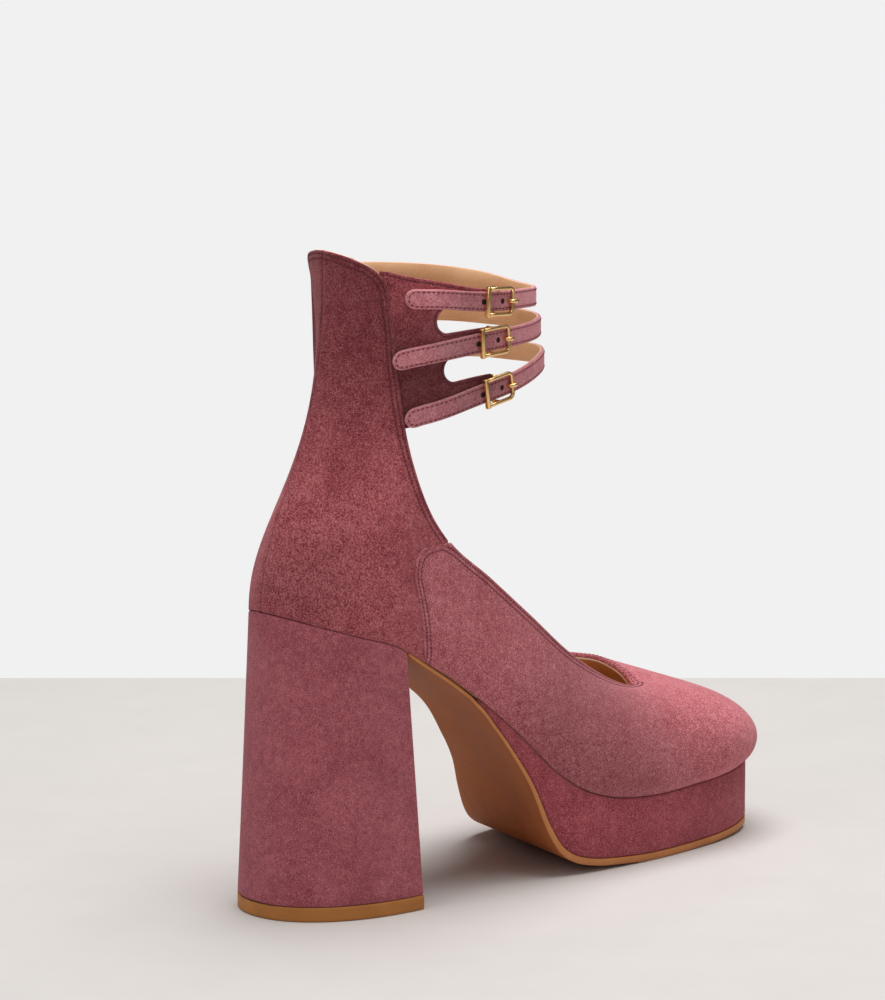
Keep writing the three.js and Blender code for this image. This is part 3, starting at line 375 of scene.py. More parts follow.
class Finish:
    """A material and the few node calls that its pattern needs."""

    def __init__(self, name):
        self.material = bpy.data.materials.new(name)
        self.material.use_nodes = True
        self.tree = self.material.node_tree
        self.shader = self.tree.nodes["Principled BSDF"]
        self.object_place = self.node("ShaderNodeTexCoord").outputs["Object"]
        self.height = None

    def node(self, kind, **settings):
        n = self.tree.nodes.new(kind)
        for key, value in settings.items():
            setattr(n, key, value)
        return n

    def join(self, source, target):
        if isinstance(source, (int, float, tuple)):
            target.default_value = source
        else:
            self.tree.links.new(source, target)

    def math(self, operation, a, b=0.0):
        n = self.node("ShaderNodeMath", operation=operation)
        self.join(a, n.inputs[0])
        self.join(b, n.inputs[1])
        return n.outputs[0]

    def noise(self, per_mm, detail=3.0, roughness=0.55, distortion=0.0):
        n = self.node("ShaderNodeTexNoise")
        n.inputs["Scale"].default_value = per_mm * 1000
        n.inputs["Detail"].default_value = detail
        n.inputs["Roughness"].default_value = roughness
        n.inputs["Distortion"].default_value = distortion
        self.join(self.object_place, n.inputs["Vector"])
        return n.outputs["Fac"]

    def cells(self, per_mm):
        n = self.node("ShaderNodeTexVoronoi", feature="F1")
        n.inputs["Scale"].default_value = per_mm * 1000
        self.join(self.object_place, n.inputs["Vector"])
        return n.outputs["Distance"]

    def ramp(self, value, *stops):
        n = self.node("ShaderNodeValToRGB")
        self.join(value, n.inputs[0])
        while len(n.color_ramp.elements) < len(stops):
            n.color_ramp.elements.new(0.5)
        for element, (place, tone) in zip(n.color_ramp.elements, stops):
            element.position = place
            element.color = tone
        return n.outputs[0]

    def mix(self, amount, a, b, kind="MIX"):
        n = self.node("ShaderNodeMix", data_type="RGBA", blend_type=kind)
        self.join(amount, n.inputs[0])
        self.join(a, n.inputs[6])
        self.join(b, n.inputs[7])
        return n.outputs[2]

    def bump(self, height, strength, distance_mm):
        n = self.node("ShaderNodeBump")
        n.inputs["Strength"].default_value = strength
        n.inputs["Distance"].default_value = distance_mm * MM
        self.join(height, n.inputs["Height"])
        if self.height is not None:
            self.join(self.height, n.inputs["Normal"])
        self.height = n.outputs[0]

    def edge_distance(self):
        """Distances in millimetres that a panel keeps in its UV map: from its edge, from its seam."""
        uv = self.node("ShaderNodeUVMap", uv_map="edge")
        split = self.node("ShaderNodeSeparateXYZ")
        self.join(uv.outputs[0], split.inputs[0])
        return self.math("MULTIPLY", split.outputs[0], 100.0), self.math("MULTIPLY", split.outputs[1], 100.0)

    def line_at(self, distance, place, width):
        """1 on a line beside an edge, falling off to its sides."""
        off = self.math("DIVIDE", self.math("SUBTRACT", distance, place), width)
        return self.math("EXPONENT", self.math("MULTIPLY", self.math("MULTIPLY", off, off), -1.0))

    def distance_from(self, place_mm):
        away = self.node("ShaderNodeVectorMath", operation="DISTANCE")
        self.join(self.object_place, away.inputs[0])
        away.inputs[1].default_value = [c * MM for c in place_mm]
        return away.outputs["Value"]

    def step(self, value, start, end):
        """0 before start, 1 past end, smooth between."""
        n = self.node("ShaderNodeMapRange", interpolation_type="SMOOTHSTEP")
        self.join(value, n.inputs["Value"])
        for k, number in enumerate((start, end, 0.0, 1.0)):
            n.inputs[k + 1].default_value = number
        return n.outputs[0]

    def toned(self, colour, factor, value, start, end):
        """Multiplies a colour by a factor that sets in from start to end of a value."""
        return self.mix(self.step(value, start, end), colour, (factor, factor, factor, 1.0), "MULTIPLY")

    def done(self, colour, roughness, **sockets):
        self.join(colour, self.shader.inputs["Base Color"])
        self.join(roughness, self.shader.inputs["Roughness"])
        if self.height is not None:
            self.join(self.height, self.shader.inputs["Normal"])
        for key, value in sockets.items():
            self.shader.inputs[key.replace("_", " ")].default_value = value
        return self.material


def suede(name, dark, middle, light, nap=1.0, patches=1.0, rows=(), seam=None, coarse=None, painted_shade_by_height=None,
          painted_light_along_band=(), painted_light_spots=(), painted_sheen=0.3):
    """Brushed suede: fine nap, short fibres, soft clumps and patches, and a dip along each row with painted
    shade in it; painted shade and light by height, along a band and round places, and a painted sheen at
    grazing angles.
    """
    f = Finish(name)
    fine = f.noise(2.3 * nap, 2.0, 0.8)
    fibre = f.noise(1.5 * nap, 3.0, 0.8, 0.8)
    clump = f.noise(0.36, 3.0, 0.6, 0.5)
    patch = f.noise(0.045, 2.0, 0.5, 0.6)
    tone = f.math("ADD", f.math("MULTIPLY", fine, 0.44), f.math("MULTIPLY", fibre, 0.32))
    tone = f.math("ADD", tone, f.math("MULTIPLY", clump, 0.12))
    tone = f.math("ADD", tone, f.math("MULTIPLY", patch, 0.12 * patches))
    tone = f.math("ADD", tone, 0.06 * (1 - patches))
    colour = f.ramp(tone, (0.42, dark), (0.50, middle), (0.58, light))
    if coarse:
        # raised nap, coarser round one place
        near = f.step(f.distance_from(coarse[:3]), coarse[3] * MM, coarse[3] * 0.25 * MM)
        fleck = f.noise(1.5, 2.0, 0.6)
        pale = f.ramp(fleck, (0.53, (0, 0, 0, 1)), (0.66, (1, 1, 1, 1)))
        deep = f.ramp(fleck, (0.34, (1, 1, 1, 1)), (0.47, (0, 0, 0, 1)))
        amount = f.math("ADD", f.math("MULTIPLY", near, 0.36), 0.12)
        colour = f.mix(f.math("MULTIPLY", pale, amount), colour, light)
        colour = f.mix(f.math("MULTIPLY", deep, amount), colour, dark)
    dips_and_shade = None
    if rows or seam:
        edge, seam_place = f.edge_distance()
        for row in rows:
            line = f.line_at(edge, row, 0.40)
            dips_and_shade = line if dips_and_shade is None else f.math("ADD", dips_and_shade, line)
        if seam:
            line = f.line_at(seam_place, 0.0, 0.40)
            dips_and_shade = line if dips_and_shade is None else f.math("ADD", dips_and_shade, line)
        # painted shade: the colour darkens along each row and the seam, for the shade in their dips; the
        # dips themselves are the bump below
        colour = f.mix(f.math("MULTIPLY", dips_and_shade, 0.58), colour, dark)
        f.bump(dips_and_shade, 0.35, -0.45)
    f.bump(fibre, 0.9, 0.50)
    f.bump(fine, 0.9, 0.40)
    if painted_shade_by_height:
        # painted shade: the colour darkens towards one height, where less light falls
        height = f.node("ShaderNodeSeparateXYZ")
        f.join(f.object_place, height.inputs[0])
        colour = f.toned(colour, painted_shade_by_height[2], height.outputs[2], painted_shade_by_height[0] * MM, painted_shade_by_height[1] * MM)
    for start, end, factor in painted_light_along_band:
        # painted light and shade: the colour darkens or lightens along the length of a band, for how light
        # falls on its parts
        colour = f.toned(colour, factor, f.edge_distance()[1], start, end)
    for x, y, z, reach, factor in painted_light_spots:
        # painted light and shade: the colour lightens or darkens round a place, for where more or less light
        # falls
        colour = f.toned(colour, factor, f.distance_from((x, y, z)), reach * MM, reach * 0.25 * MM)
    # painted sheen: a lighter colour mixed in where the surface is seen at a grazing angle
    sheen_facing = f.node("ShaderNodeLayerWeight")
    sheen_facing.inputs["Blend"].default_value = 0.5
    rim = f.math("MULTIPLY", f.math("POWER", sheen_facing.outputs["Facing"], 3.0), painted_sheen)
    colour = f.mix(rim, colour, light)
    return f.done(colour, 0.96, Specular_IOR_Level=0.06, Sheen_Weight=0.35, Sheen_Roughness=0.4,
                  Sheen_Tint=(1.0, 0.62, 0.66, 1.0))


def leather(name, dark, light, grain, roughness, coat=0.0, grain_depth=0.08, shine=0.3):
    """Smooth leather with a fine pebble grain and slow changes of tone."""
    f = Finish(name)
    pebble = f.cells(grain)
    slow = f.noise(0.05, 3.0, 0.5, 0.6)
    fine = f.noise(grain * 1.7, 3.0, 0.6)
    tone = f.math("ADD", f.math("MULTIPLY", slow, 0.6), f.math("MULTIPLY", fine, 0.4))
    colour = f.ramp(tone, (0.34, dark), (0.68, light))
    f.bump(pebble, 0.5, grain_depth)
    f.bump(fine, 0.35, grain_depth * 0.7)
    smooth = (roughness * 0.85,) * 3 + (1.0,)
    matt = (min(roughness * 1.12, 1),) * 3 + (1.0,)
    return f.done(colour, f.ramp(slow, (0.3, smooth), (0.7, matt)), Coat_Weight=coat, Coat_Roughness=0.3,
                  Specular_IOR_Level=shine)


def plated_gold(name):
    f = Finish(name)
    cloud = f.noise(0.6, 2.0, 0.5)
    colour = f.ramp(cloud, (0.3, (0.86, 0.54, 0.22, 1)), (0.7, (0.95, 0.66, 0.32, 1)))
    f.bump(f.noise(1.8, 2.0, 0.5), 0.08, 0.03)
    return f.done(colour, f.ramp(cloud, (0.3, (0.14,) * 3 + (1,)), (0.7, (0.24,) * 3 + (1,))), Metallic=1.0)


def plain(name, colour, roughness, variation=0.12, per_mm=1.5, **sockets):
    f = Finish(name)
    cloud = f.noise(per_mm, 3.0, 0.6)
    low = tuple(c * (1 - variation) for c in colour[:3]) + (1.0,)
    high = tuple(min(c * (1 + variation), 1) for c in colour[:3]) + (1.0,)
    f.bump(cloud, 0.3, 0.05)
    return f.done(f.ramp(cloud, (0.3, low), (0.7, high)), roughness, **sockets)


# Stitched rows: distance from the edge
quarter_lines = (1.2, 3.1)
vamp_lines = (1.3, 3.1)
strap_line = 1.05
cuff_line = 1.3

rose_dark, rose, rose_light = srgb(118, 46, 54), srgb(180, 88, 96), srgb(226, 138, 144)
# Painted shade darkens the quarter towards its top and at the back above the heel; a painted light spot
# lightens its lateral side further forward.
quarter_suede = suede("quarter suede", rose_dark, rose, rose_light, rows=quarter_lines, seam=True,
                      coarse=(-14, -18, 136, 46), painted_shade_by_height=(145, 225, 0.68),
                      painted_light_spots=[(-28, -20, 134, 34, 0.76), (22, -33, 168, 34, 1.16)])
# The vamp's suede is a lighter copy of the quarter's suede, painted light on the toe and instep. Its painted
# shade darkens the low lateral side, a painted light spot brightens the toe top, and its painted sheen is
# stronger.
lit_vamp_suede = suede("vamp suede", srgb(146, 62, 71), srgb(200, 106, 115), srgb(238, 162, 170), patches=0.4,
                   rows=vamp_lines, painted_sheen=0.4,
                   painted_light_spots=[(110, -38, 50, 66, 0.72), (192, -4, 56, 62, 1.28)])
# Painted shade darkens the cuffs towards their lower edge.
cuff_suede = suede("cuff suede", rose_dark, rose, rose_light, rows=(cuff_line,), painted_shade_by_height=(240, 208, 0.42))
# Painted shade darkens the lower straps; along each strap, painted shade darkens it past the tail, and
# painted light brings it back further along.
strap_suede = suede("strap suede", srgb(198, 108, 118), srgb(242, 152, 162), srgb(255, 196, 203),
                    rows=(strap_line,), painted_shade_by_height=(238, 188, 0.82), painted_light_along_band=[(8, 28, 0.68), (34, 52, 1.42)])
block_suede = suede("heel suede", srgb(136, 62, 73), srgb(180, 94, 105), srgb(218, 133, 143), nap=1.15,
                    patches=0.8)
platform_cover = suede("platform suede", srgb(127, 50, 60), srgb(170, 77, 87), srgb(211, 117, 127),
                       patches=0.8)
lining_leather = leather("nude lining", srgb(220, 168, 126), srgb(246, 204, 160), 1.4, 0.62)
insole_leather = leather("nude insole", srgb(204, 156, 114), srgb(230, 188, 146), 1.2, 0.5, coat=0.1)
cream_edge = plain("cream cut edge", srgb(238, 208, 190), 0.8)
sole_leather = leather("sole leather", srgb(164, 93, 52), srgb(190, 116, 69), 0.9, 0.6, grain_depth=0.03,
                       shine=0.06)
sole_edge = leather("sole edge", srgb(184, 116, 66), srgb(206, 138, 84), 1.2, 0.55, grain_depth=0.03)
tip_leather = leather("heel tip", srgb(170, 108, 50), srgb(196, 132, 68), 1.6, 0.55, grain_depth=0.03)
gold = plated_gold("plated gold")
# The thread's own rose colour, darkened by painted shade for the holes and dips it lies in.
thread = plain("rose thread", srgb(98, 40, 48), 0.8, 0.2)
# Painted shade: near-black colour for the dark inside of each punched hole.
hole_shade = plain("punched hole", srgb(34, 12, 16), 0.9)


# Meshes

def fit_outward(verts, faces, outward):
    """Turns all faces round if most point against the outward directions of their first corner."""
    votes = 0
    for face in faces[:: max(len(faces) // 400, 1)]:
        a, b, c = (verts[k] for k in face[:3])
        votes += np.dot(np.cross(b - a, c - a), outward[face[0]]) > 0
    if votes * 2 < len(faces[:: max(len(faces) // 400, 1)]):
        return [tuple(reversed(f)) for f in faces]
    return faces


def mesh_object(name, verts, faces, materials, uv=None, face_material=None):
    mesh = bpy.data.meshes.new(name)
    mesh.from_pydata([tuple(v) for v in np.asarray(verts) * MM], [], [tuple(f) for f in faces])
    for m in materials:
        mesh.materials.append(m)
    if uv is not None:
        layer = mesh.uv_layers.new(name="edge")
        index = np.empty(len(mesh.loops), int)
        mesh.loops.foreach_get("vertex_index", index)
        layer.data.foreach_set("uv", (np.asarray(uv)[index] * 0.01).ravel())
    if face_material is not None:
        mesh.polygons.foreach_set("material_index", list(face_material))
    obj = bpy.data.objects.new(name, mesh)
    bpy.context.collection.objects.link(obj)
    return smoothed(obj)


def applied(obj):
    """Replaces the object's mesh by the result of its modifiers."""
    graph = bpy.context.evaluated_depsgraph_get()
    result = bpy.data.meshes.new_from_object(obj.evaluated_get(graph))
    obj.modifiers.clear()
    obj.data = result
    return obj


def smoothed(obj):
    obj.data.polygons.foreach_set("use_smooth", [True] * len(obj.data.polygons))
    return obj


def faced_out(obj, weld=False):
    """Faces turned outward, after doubled corners and slivers are merged where weld is asked."""
    mesh = bmesh.new()
    mesh.from_mesh(obj.data)
    if weld:
        bmesh.ops.remove_doubles(mesh, verts=mesh.verts, dist=weld_distance * MM)
        bmesh.ops.dissolve_degenerate(mesh, edges=mesh.edges, dist=weld_distance / 2 * MM)
    bmesh.ops.recalc_face_normals(mesh, faces=mesh.faces)
    mesh.to_mesh(obj.data)
    mesh.free()
    return smoothed(obj)


def with_bevel(obj, width, segments=2, angle=50):
    bevel = obj.modifiers.new("bevel", "BEVEL")
    bevel.width = width * MM
    bevel.segments = segments
    bevel.limit_method = "ANGLE"
    bevel.angle_limit = math.radians(angle)
    bevel.use_clamp_overlap = False
    return obj


def with_wall(obj, thickness, rim_slot=0):
    solid = obj.modifiers.new("wall", "SOLIDIFY")
    solid.thickness = thickness * MM
    solid.offset = -1
    solid.use_rim = True
    solid.material_offset_rim = rim_slot
    solid.use_quality_normals = True
    return obj


def clip_grid(points, field, extra, wrap=False):
    """Grid cut where field is negative, exactly along its zero line. extra: values kept per point."""
    rows, cols = field.shape
    pos = points.reshape(-1, 3).copy()
    f = field.ravel()
    ex = extra.reshape(rows * cols, -1)
    new_pos, new_ex, cut, moved = [], [], {}, {}

    def crossing(a, b):
        if f[a] < 0:
            a, b = b, a
        key = (a, b)
        if key not in cut:
            t = f[a] / (f[a] - f[b])
            p = pos[a] + (pos[b] - pos[a]) * t
            if t < 0.22:
                moved.setdefault(a, []).append(p)
                cut[key] = a
            else:
                cut[key] = len(pos) + len(new_pos)
                new_pos.append(p)
                new_ex.append(ex[a] + (ex[b] - ex[a]) * t)
        return cut[key]

    faces = []
    for i in range(rows - 1):
        for j in range(cols if wrap else cols - 1):
            k = (j + 1) % cols
            quad = (i * cols + j, (i + 1) * cols + j, (i + 1) * cols + k, i * cols + k)
            inside = [f[q] >= 0 for q in quad]
            if all(inside):
                faces.append(quad)
            elif any(inside):
                ring = []
                for n in range(4):
                    a, b = quad[n], quad[(n + 1) % 4]
                    if inside[n]:
                        ring.append(a)
                    if inside[n] != inside[(n + 1) % 4]:
                        ring.append(crossing(a, b))
                ring = [q for n, q in enumerate(ring) if q != ring[n - 1]]
                if len(set(ring)) >= 3 and len(set(ring)) == len(ring):
                    faces.append(tuple(ring))
    for a, places in moved.items():
        pos[a] = np.mean(places, axis=0)
    verts = np.vstack([pos] + ([np.array(new_pos)] if new_pos else []))
    ex = np.vstack([ex] + ([np.array(new_ex)] if new_ex else []))
    used = np.unique([q for face in faces for q in face])
    index = np.full(len(verts), -1)
    index[used] = np.arange(len(used))
    return verts[used], [tuple(int(index[q]) for q in face) for face in faces], ex[used]


def contour(points, normals, field, level, keep):
    """Lines on a grid where field meets a level, as lists of points and normals. keep: where to look."""
    rows, cols = field.shape
    p, n = points.reshape(-1, 3), normals.reshape(-1, 3)
    f = field.ravel() - level
    ok = keep.ravel()
    place, links = {}, {}

    def crossing(a, b):
        key = (min(a, b), max(a, b))
        if key not in place:
            t = f[a] / (f[a] - f[b])
            place[key] = (p[a] + (p[b] - p[a]) * t, n[a] + (n[b] - n[a]) * t)
        return key

    signs = (f >= 0).reshape(rows, cols)
    for i in range(rows - 1):
        for j in range(cols - 1):
            k = j + 1
            s = int(signs[i, j]) + int(signs[i + 1, j]) + int(signs[i + 1, k]) + int(signs[i, k])
            if s in (0, 4):
                continue
            quad = (i * cols + j, (i + 1) * cols + j, (i + 1) * cols + k, i * cols + k)
            if not all(ok[q] for q in quad):
                continue
            hits = [crossing(quad[m], quad[(m + 1) % 4]) for m in range(4)
                    if (f[quad[m]] >= 0) != (f[quad[(m + 1) % 4]] >= 0)]
            if len(hits) == 2:
                links.setdefault(hits[0], []).append(hits[1])
                links.setdefault(hits[1], []).append(hits[0])
    lines, seen = [], set()
    starts = [k for k, v in links.items() if len(v) == 1] + list(links)
    for start in starts:
        if start in seen:
            continue
        line, here = [start], start
        seen.add(start)
        while True:
            onward = [q for q in links[here] if q not in seen]
            if not onward:
                break
            here = onward[0]
            seen.add(here)
            line.append(here)
        if len(line) > 3:
            if start in links[here] and len(line) > 5:
                line.append(start)
            line_points = np.array([place[k][0] for k in line])
            line_normals = unit(np.array([place[k][1] for k in line]))
            lines.append((line_points, line_normals))
    return lines


# Stitches and holes

def piece_tree(name, labels, finish_label):
    """Empty tree with float inputs, a material input and a turn that faces away from the surface."""
    tree = bpy.data.node_groups.new(name, "GeometryNodeTree")
    io = tree.interface
    io.new_socket("Geometry", in_out="INPUT", socket_type="NodeSocketGeometry")
    sockets = {}
    for label in labels:
        socket = io.new_socket(label, in_out="INPUT", socket_type="NodeSocketFloat")
        sockets[label] = socket.identifier
    socket = io.new_socket(finish_label, in_out="INPUT", socket_type="NodeSocketMaterial")
    sockets[finish_label] = socket.identifier
    io.new_socket("Geometry", in_out="OUTPUT", socket_type="NodeSocketGeometry")
    facing = tree.nodes.new("GeometryNodeInputNamedAttribute")
    facing.data_type = "FLOAT_VECTOR"
    facing.inputs["Name"].default_value = "facing"
    axes = tree.nodes.new("FunctionNodeAxesToRotation")
    axes.primary_axis, axes.secondary_axis = "Z", "X"
    tree.links.new(facing.outputs[0], axes.inputs[0])
    return tree, sockets, axes


def ending(tree, source, instances, finish_label):
    """Realizes the instances, sets their material and sends them out."""
    real = tree.nodes.new("GeometryNodeRealizeInstances")
    finish = tree.nodes.new("GeometryNodeSetMaterial")
    out = tree.nodes.new("NodeGroupOutput")
    tree.links.new(instances, real.inputs[0])
    tree.links.new(real.outputs[0], finish.inputs[0])
    tree.links.new(source.outputs[finish_label], finish.inputs["Material"])
    tree.links.new(finish.outputs[0], out.inputs[0])


def stitch_tree():
    """Short threads laid end to end along lines, turned to face away from the surface."""
    labels = ("Pitch", "Length", "Width", "Height", "Slant")
    tree, sizes, axes = piece_tree("stitch row", labels, "Thread")
    new, link = tree.nodes.new, tree.links.new
    source = new("NodeGroupInput")
    line = new("GeometryNodeMeshToCurve")
    even = new("GeometryNodeResampleCurve")
    even.mode = "LENGTH"
    tangent = new("GeometryNodeInputTangent")
    turn = new("FunctionNodeRotateRotation")
    turn.rotation_space = "LOCAL"
    slant = new("ShaderNodeCombineXYZ")
    as_rotation = new("FunctionNodeEulerToRotation")
    thread_shape = new("GeometryNodeMeshUVSphere")
    thread_shape.inputs["Segments"].default_value = 8
    thread_shape.inputs["Rings"].default_value = 5
    thread_shape.inputs["Radius"].default_value = 0.5
    size = new("ShaderNodeCombineXYZ")
    shaped = new("GeometryNodeTransform")
    place = new("GeometryNodeInstanceOnPoints")
    link(source.outputs["Geometry"], line.inputs[0])
    link(line.outputs[0], even.inputs["Curve"])
    link(source.outputs["Pitch"], even.inputs["Length"])
    link(tangent.outputs[0], axes.inputs[1])
    link(source.outputs["Slant"], slant.inputs[2])
    link(slant.outputs[0], as_rotation.inputs[0])
    link(axes.outputs[0], turn.inputs[0])
    link(as_rotation.outputs[0], turn.inputs[1])
    for k, label in enumerate(("Length", "Width", "Height")):
        link(source.outputs[label], size.inputs[k])
    link(thread_shape.outputs[0], shaped.inputs["Geometry"])
    link(size.outputs[0], shaped.inputs["Scale"])
    link(even.outputs[0], place.inputs["Points"])
    link(shaped.outputs[0], place.inputs["Instance"])
    link(turn.outputs[0], place.inputs["Rotation"])
    ending(tree, source, place.outputs[0], "Thread")
    return tree, sizes


row_tree, row_sizes = stitch_tree()


def facing_points(name, points, facing, edges=()):
    """Points that keep the outward direction in an attribute for the trees."""
    mesh = bpy.data.meshes.new(name)
    mesh.from_pydata([tuple(p) for p in np.array(points) * MM], list(edges), [])
    attribute = mesh.attributes.new("facing", "FLOAT_VECTOR", "POINT")
    attribute.data.foreach_set("vector", np.array(facing).ravel())
    obj = bpy.data.objects.new(name, mesh)
    bpy.context.collection.objects.link(obj)
    return obj


def stitches(name, lines, pitch, length, width=0.58, height=0.42, slant=0.22):
    """One mesh of stitches along a list of (points, normals) lines."""
    verts, edges, facing = [], [], []
    for points, normals in lines:
        start = len(verts)
        verts.extend(points)
        facing.extend(normals)
        edges.extend((start + k, start + k + 1) for k in range(len(points) - 1))
    obj = facing_points(name, verts, facing, edges)
    rows = obj.modifiers.new("rows", "NODES")
    rows.node_group = row_tree
    for label, value in (("Pitch", pitch), ("Length", length), ("Width", width), ("Height", height)):
        rows[row_sizes[label]] = value * MM
    rows[row_sizes["Slant"]] = slant
    rows[row_sizes["Thread"]] = thread
    return smoothed(applied(obj))


# Upper

def dents(points):
    """Soft troughs and swells of the worn-in suede: centre, direction, length, width, depth."""
    depth = np.zeros(points.shape[:-1])
    for centre, direction, length, width, amount in (
        ((24, -28, 150), (0.35, 0.0, -1.0), 16, 5.0, 0.5),
        ((38, -30, 118), (1.0, 0.0, -0.75), 22, 7.0, 0.45),
        ((62, -31, 96), (1.0, 0.0, -0.95), 26, 8.0, 0.25),
        ((-12, -20, 160), (0.5, 0.0, 1.0), 24, 9.0, 0.5),
        ((2, -28, 138), (1.0, 0.0, 0.3), 18, 7.0, 0.35),
        ((150, -22, 58), (1.0, 0.35, -0.3), 16, 6.0, 0.2),
        ((120, -28, 62), (1.0, 0.1, -0.6), 20, 7.0, -0.15),
    ):
        direction = np.array(direction) / np.linalg.norm(direction)
        off = points - np.array(centre)
        along = off @ direction
        across = np.linalg.norm(off - along[..., None] * direction, axis=-1)
        depth += amount * np.exp(-(along / length) ** 2 - (across / width) ** 2)
    return depth


panel_height = 120.0


def panel_grid(u0, u1, step_u, step_v):
    """Grid on the last between two distances round it, with its points and outward normals."""
    count_u = int((u1 - u0) / (step_u * rough))
    count_v = int(panel_height / (step_v * rough))
    u, v = np.meshgrid(np.linspace(u0, u1, count_u + 1), np.linspace(0, 1, count_v + 1))
    return u, v, *surface_frame(u, v)


def rows_at(places, points, normals, field, keep):
    """Lines for rows of stitches at distances from an edge."""
    return [line for place in places for line in contour(points, normals, field, place, keep)]


def pulled_in(distance, places, depth, reach=0.7):
    """Dip that the thread pulls into the suede along each row."""
    return sum(depth * np.exp(-((distance - place) / reach) ** 2) for place in places)


def panel(name, points, normals, field, edges, finishes):
    """Sheet cut from a grid along the zero line of field. edges: the two distances kept in its UV map."""
    extra = np.concatenate([np.stack(edges, axis=-1), normals], axis=-1)
    verts, faces, kept = clip_grid(points, field, extra)
    faces = fit_outward(verts, faces, kept[:, 2:5])
    return mesh_object(name, verts, faces, finishes, kept[:, :2])


seam_tuck = 1.2


def quarter_panel():
    u, v, at, normal = panel_grid(loop_knots[8], loop_knots[-9], 0.95, 1.15)
    seam = seam_distance(at)
    rim = rim_distance(at)
    middle = loop_knots[len(half_ribs) - 1]
    off = np.abs(u - middle) * np.interp(v, [0, 1], [1.0, 0.75])
    groove = -0.5 * np.exp(-(off / 0.45) ** 2) + 0.12 * np.exp(-((off - 1.6) / 0.9) ** 2)
    outer = at + normal * (groove - dents(at) - pulled_in(rim, quarter_lines, 0.10))[..., None]
    obj = panel("quarter", outer, normal, seam_tuck - seam, (rim, off), [quarter_suede])
    applied(with_bevel(with_wall(obj, quarter_layer), quarter_edge))
    return obj, rows_at(quarter_lines, outer, normal, rim, seam < -0.6)


def vamp_panel():
    first = loop_knots[-12] - loop_length
    _, v, at, normal = panel_grid(first, loop_knots[11], 1.0, 1.9)
    seam = seam_distance(at)
    rim = rim_distance(at)
    edge = soft_min(seam, rim, 3.0)
    tuck = 0.9 * np.exp(-(v / 0.035) ** 2)
    lift = lap_step - dents(at) - pulled_in(edge, vamp_lines, 0.12) - tuck
    outer = at + normal * lift[..., None]
    obj = panel("vamp", outer, normal, seam, (edge, rim), [lit_vamp_suede])
    applied(with_bevel(with_wall(obj, wall), vamp_edge))
    return obj, rows_at(vamp_lines, outer, normal, edge, (seam > 0.3) & (v > 0.012))


def lining_panel():
    around = np.linspace(0, loop_length, int(loop_length / (1.9 * rough)), endpoint=False)
    u, v = np.meshgrid(around, np.linspace(0.02, 1, 60 // rough + 1))
    at, normal = surface_frame(u, v)
    outer = at - normal * lining_depth
    verts, faces, n = clip_grid(outer, np.ones(at.shape[:2]), normal, wrap=True)
    faces = fit_outward(verts, faces, n)
    obj = mesh_object("upper_lining", verts, faces, [lining_leather, cream_edge])
    return applied(with_bevel(with_wall(obj, wall - lining_depth, rim_slot=1), 0.15))


def fitted(obj, slot_name, node=None):
    """Puts a piece on the one body in place of a node of the solids; the paint slot name is not used."""
    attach(obj, "root")
    if node:
        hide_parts(node)


quarter, quarter_rows = quarter_panel()
vamp, vamp_rows = vamp_panel()
fitted(quarter, "suede", "upper")
fitted(vamp, "suede", "upper")
fitted(lining_panel(), "lining", "upper")
fitted(stitches("quarter_stitches", quarter_rows, pitch=1.6, length=1.02), "suede")
fitted(stitches("vamp_stitches", vamp_rows, pitch=1.6, length=1.02), "suede")

# Straps, cuffs and buckles

strap_routes = {
    "top": [(51.2, 0.870), (68, 0.863), (90, 0.845), (123, 0.831), (150, 0.818), (180, 0.815),
            (215, 0.842), (237, 0.859), (263, 0.876), (296, 0.895)],
    "middle": [(44.6, 0.694), (62, 0.709), (86, 0.726), (132, 0.731), (180, 0.731), (203, 0.735),
               (233, 0.748), (263, 0.748), (296, 0.735)],
    "bottom": [(50.7, 0.528), (68, 0.548), (88, 0.578), (110, 0.600), (141, 0.628), (160, 0.634),
               (190, 0.632), (220, 0.638), (263, 0.604), (296, 0.565)],
}
buckle_turns = {"top": 99.3, "middle": 96.3, "bottom": 98.7}
strap_reach = {"top": -2.5, "middle": 0.5, "bottom": 2.5}
# The tails of the two lower straps lie over the quarter's front edge, so they lift
tail_lift = {"top": 0.0, "middle": cuff_recess, "bottom": cuff_recess}
tail_lap = 4.5
tail_rise = 5.5
strap_inside = gap - cuff_recess
strap_outside = strap_inside + strap_thickness
strap_start = 292.0
tab_end = 80.0
tab_margin = 0.7
cuff_crown = 5.2
# Cut-outs, named after the tab below: turn of the rounded end's middle, and how far the tab widens there
slots = {"middle": (73.0, 1.7), "bottom": (76.5, 4.0)}
slot_past = max(buckle_turns.values()) + 12
slot_hidden = 0.3


def strap_z(name, turn):
    route = np.array(strap_routes[name], float)
    return seat_height + collar_rise * through_rows(route[:, 0], route[:, 1], turn)


def strap_out(name, turn):
    front = strap_reach[name] * ((1 - np.cos(np.radians(turn))) / 2) ** 6
    past_tip = turn - strap_routes[name][0][0]
    return front + tail_lift[name] * (1 - smooth_step((past_tip - tail_lap) / tail_rise))


turn_table = np.linspace(0, 360, 3601)
oval_table = ankle(turn_table, 0.0)
length_table = np.concatenate([[0], np.cumsum(np.linalg.norm(np.diff(oval_table, axis=0), axis=1))])


def length_at(turn):
    return np.interp(turn, turn_table, length_table)


def turn_at(length):
    return np.interp(length, length_table, turn_table)


